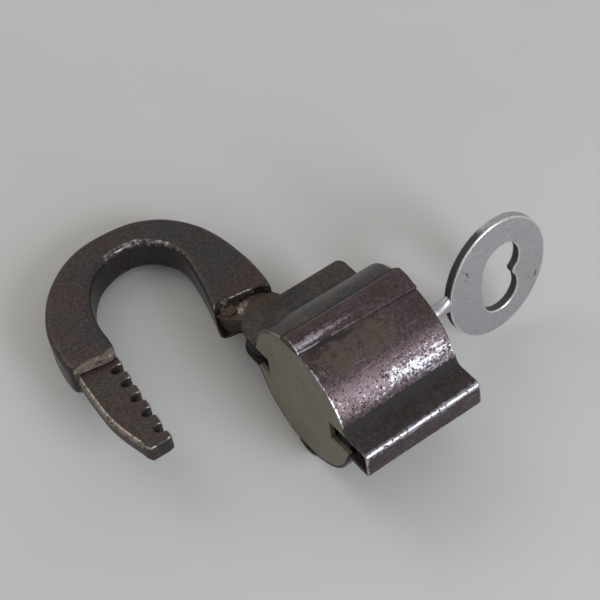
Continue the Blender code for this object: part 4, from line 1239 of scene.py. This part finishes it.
class PADLOCK_OT_stage(bpy.types.Operator):
    """Pale floor, soft lamps and the camera"""

    bl_idname = "padlock.stage"
    bl_label = "Stage"

    def execute(self, context):
        scene = context.scene
        a = np.linspace(0.0, 2.0 * np.pi, 96, endpoint=False)
        disc = np.stack([3.0 * np.cos(a), 3.0 * np.sin(a), np.zeros(96)], 1)
        mesh = bpy.data.meshes.new("board")
        mesh.from_pydata(disc, [], [list(range(96))])
        mesh.update()
        board = bpy.data.objects.new("board", mesh)
        scene.collection.objects.link(board)
        mesh.materials.append(floor_finish())
        for name, spot, size, power, colour in (
                ("window_lamp", (0.15, -0.64, 0.36), (0.26, 0.42), 3.9, (0.88, 0.95, 1.0)),
                ("room_lamp", (-0.22, 0.55, 0.62), (0.50, 0.50), 1.2, (1.0, 0.95, 0.86))):
            lamp = bpy.data.lights.new(name, "AREA")
            lamp.shape = "RECTANGLE"
            lamp.size, lamp.size_y = size
            lamp.energy = power
            lamp.color = colour
            holder = bpy.data.objects.new(name, lamp)
            scene.collection.objects.link(holder)
            spot = np.array(spot)
            target = np.array([0.0, -0.01, 0.01])
            back = (spot - target) / np.linalg.norm(spot - target)
            right = np.cross([0.0, 0.0, 1.0], back)
            right /= np.linalg.norm(right)
            turn = np.eye(4)
            turn[:3, 0], turn[:3, 1], turn[:3, 2], turn[:3, 3] = right, np.cross(back, right), back, spot
            holder.matrix_world = turn.T.tolist()
        world = bpy.data.worlds.new("pale_room")
        world.use_nodes = True
        background = world.node_tree.nodes["Background"]
        background.inputs["Color"].default_value = (1.0, 0.985, 0.95, 1.0)
        background.inputs["Strength"].default_value = 0.62
        scene.world = world
        eye = bpy.data.cameras.new("eye")
        eye.lens = 96.0
        eye.sensor_width = 36.0
        eye.clip_start = 0.01
        eye.clip_end = 20.0
        camera = bpy.data.objects.new("eye", eye)
        scene.collection.objects.link(camera)
        camera.location = (-0.109062, -0.152803, 0.294895)
        camera.rotation_euler = [math.radians(v) for v in (33.788, 0.259, -36.005)]
        scene.camera = camera
        scene.view_settings.view_transform = "Standard"
        return {"FINISHED"}


class PADLOCK_PT_maker(bpy.types.Panel):
    """Lists the padlock's sizes, finishes and steps"""

    bl_label = "Rusty Padlock"
    bl_space_type = "VIEW_3D"
    bl_region_type = "UI"
    bl_category = "Padlock"

    def draw(self, context):
        made = context.scene.padlock_maker
        for label, group in (("Body", made.body), ("Shackle", made.shackle), ("Key", made.key),
                             ("Finishes", made.finish)):
            box = self.layout.box()
            box.label(text=label)
            for name in group.__annotations__:
                box.prop(group, name)
        for step in STEPS:
            self.layout.operator(step.bl_idname)


STEPS = (PADLOCK_OT_slot_shell, PADLOCK_OT_hinge_shell, PADLOCK_OT_crest_strips, PADLOCK_OT_front_plate,
         PADLOCK_OT_shackle, PADLOCK_OT_key, PADLOCK_OT_inner_works, PADLOCK_OT_stage)
CLASSES = (BodySizes, ShackleSizes, KeySizes, Finishes, PadlockMaker, *STEPS, PADLOCK_PT_maker)


def register():
    for kind in CLASSES:
        bpy.utils.register_class(kind)
    bpy.types.Scene.padlock_maker = bpy.props.PointerProperty(type=PadlockMaker)


def unregister():
    del bpy.types.Scene.padlock_maker
    for kind in reversed(CLASSES):
        bpy.utils.unregister_class(kind)


def main():
    """Makes every piece."""
    register()
    bpy.ops.padlock.slot_shell()
    bpy.ops.padlock.hinge_shell()
    bpy.ops.padlock.crest_strips()
    bpy.ops.padlock.front_plate()
    bpy.ops.padlock.shackle()
    bpy.ops.padlock.key()
    bpy.ops.padlock.inner_works()
    bpy.ops.padlock.stage()


if __name__ == "__main__":
    main()
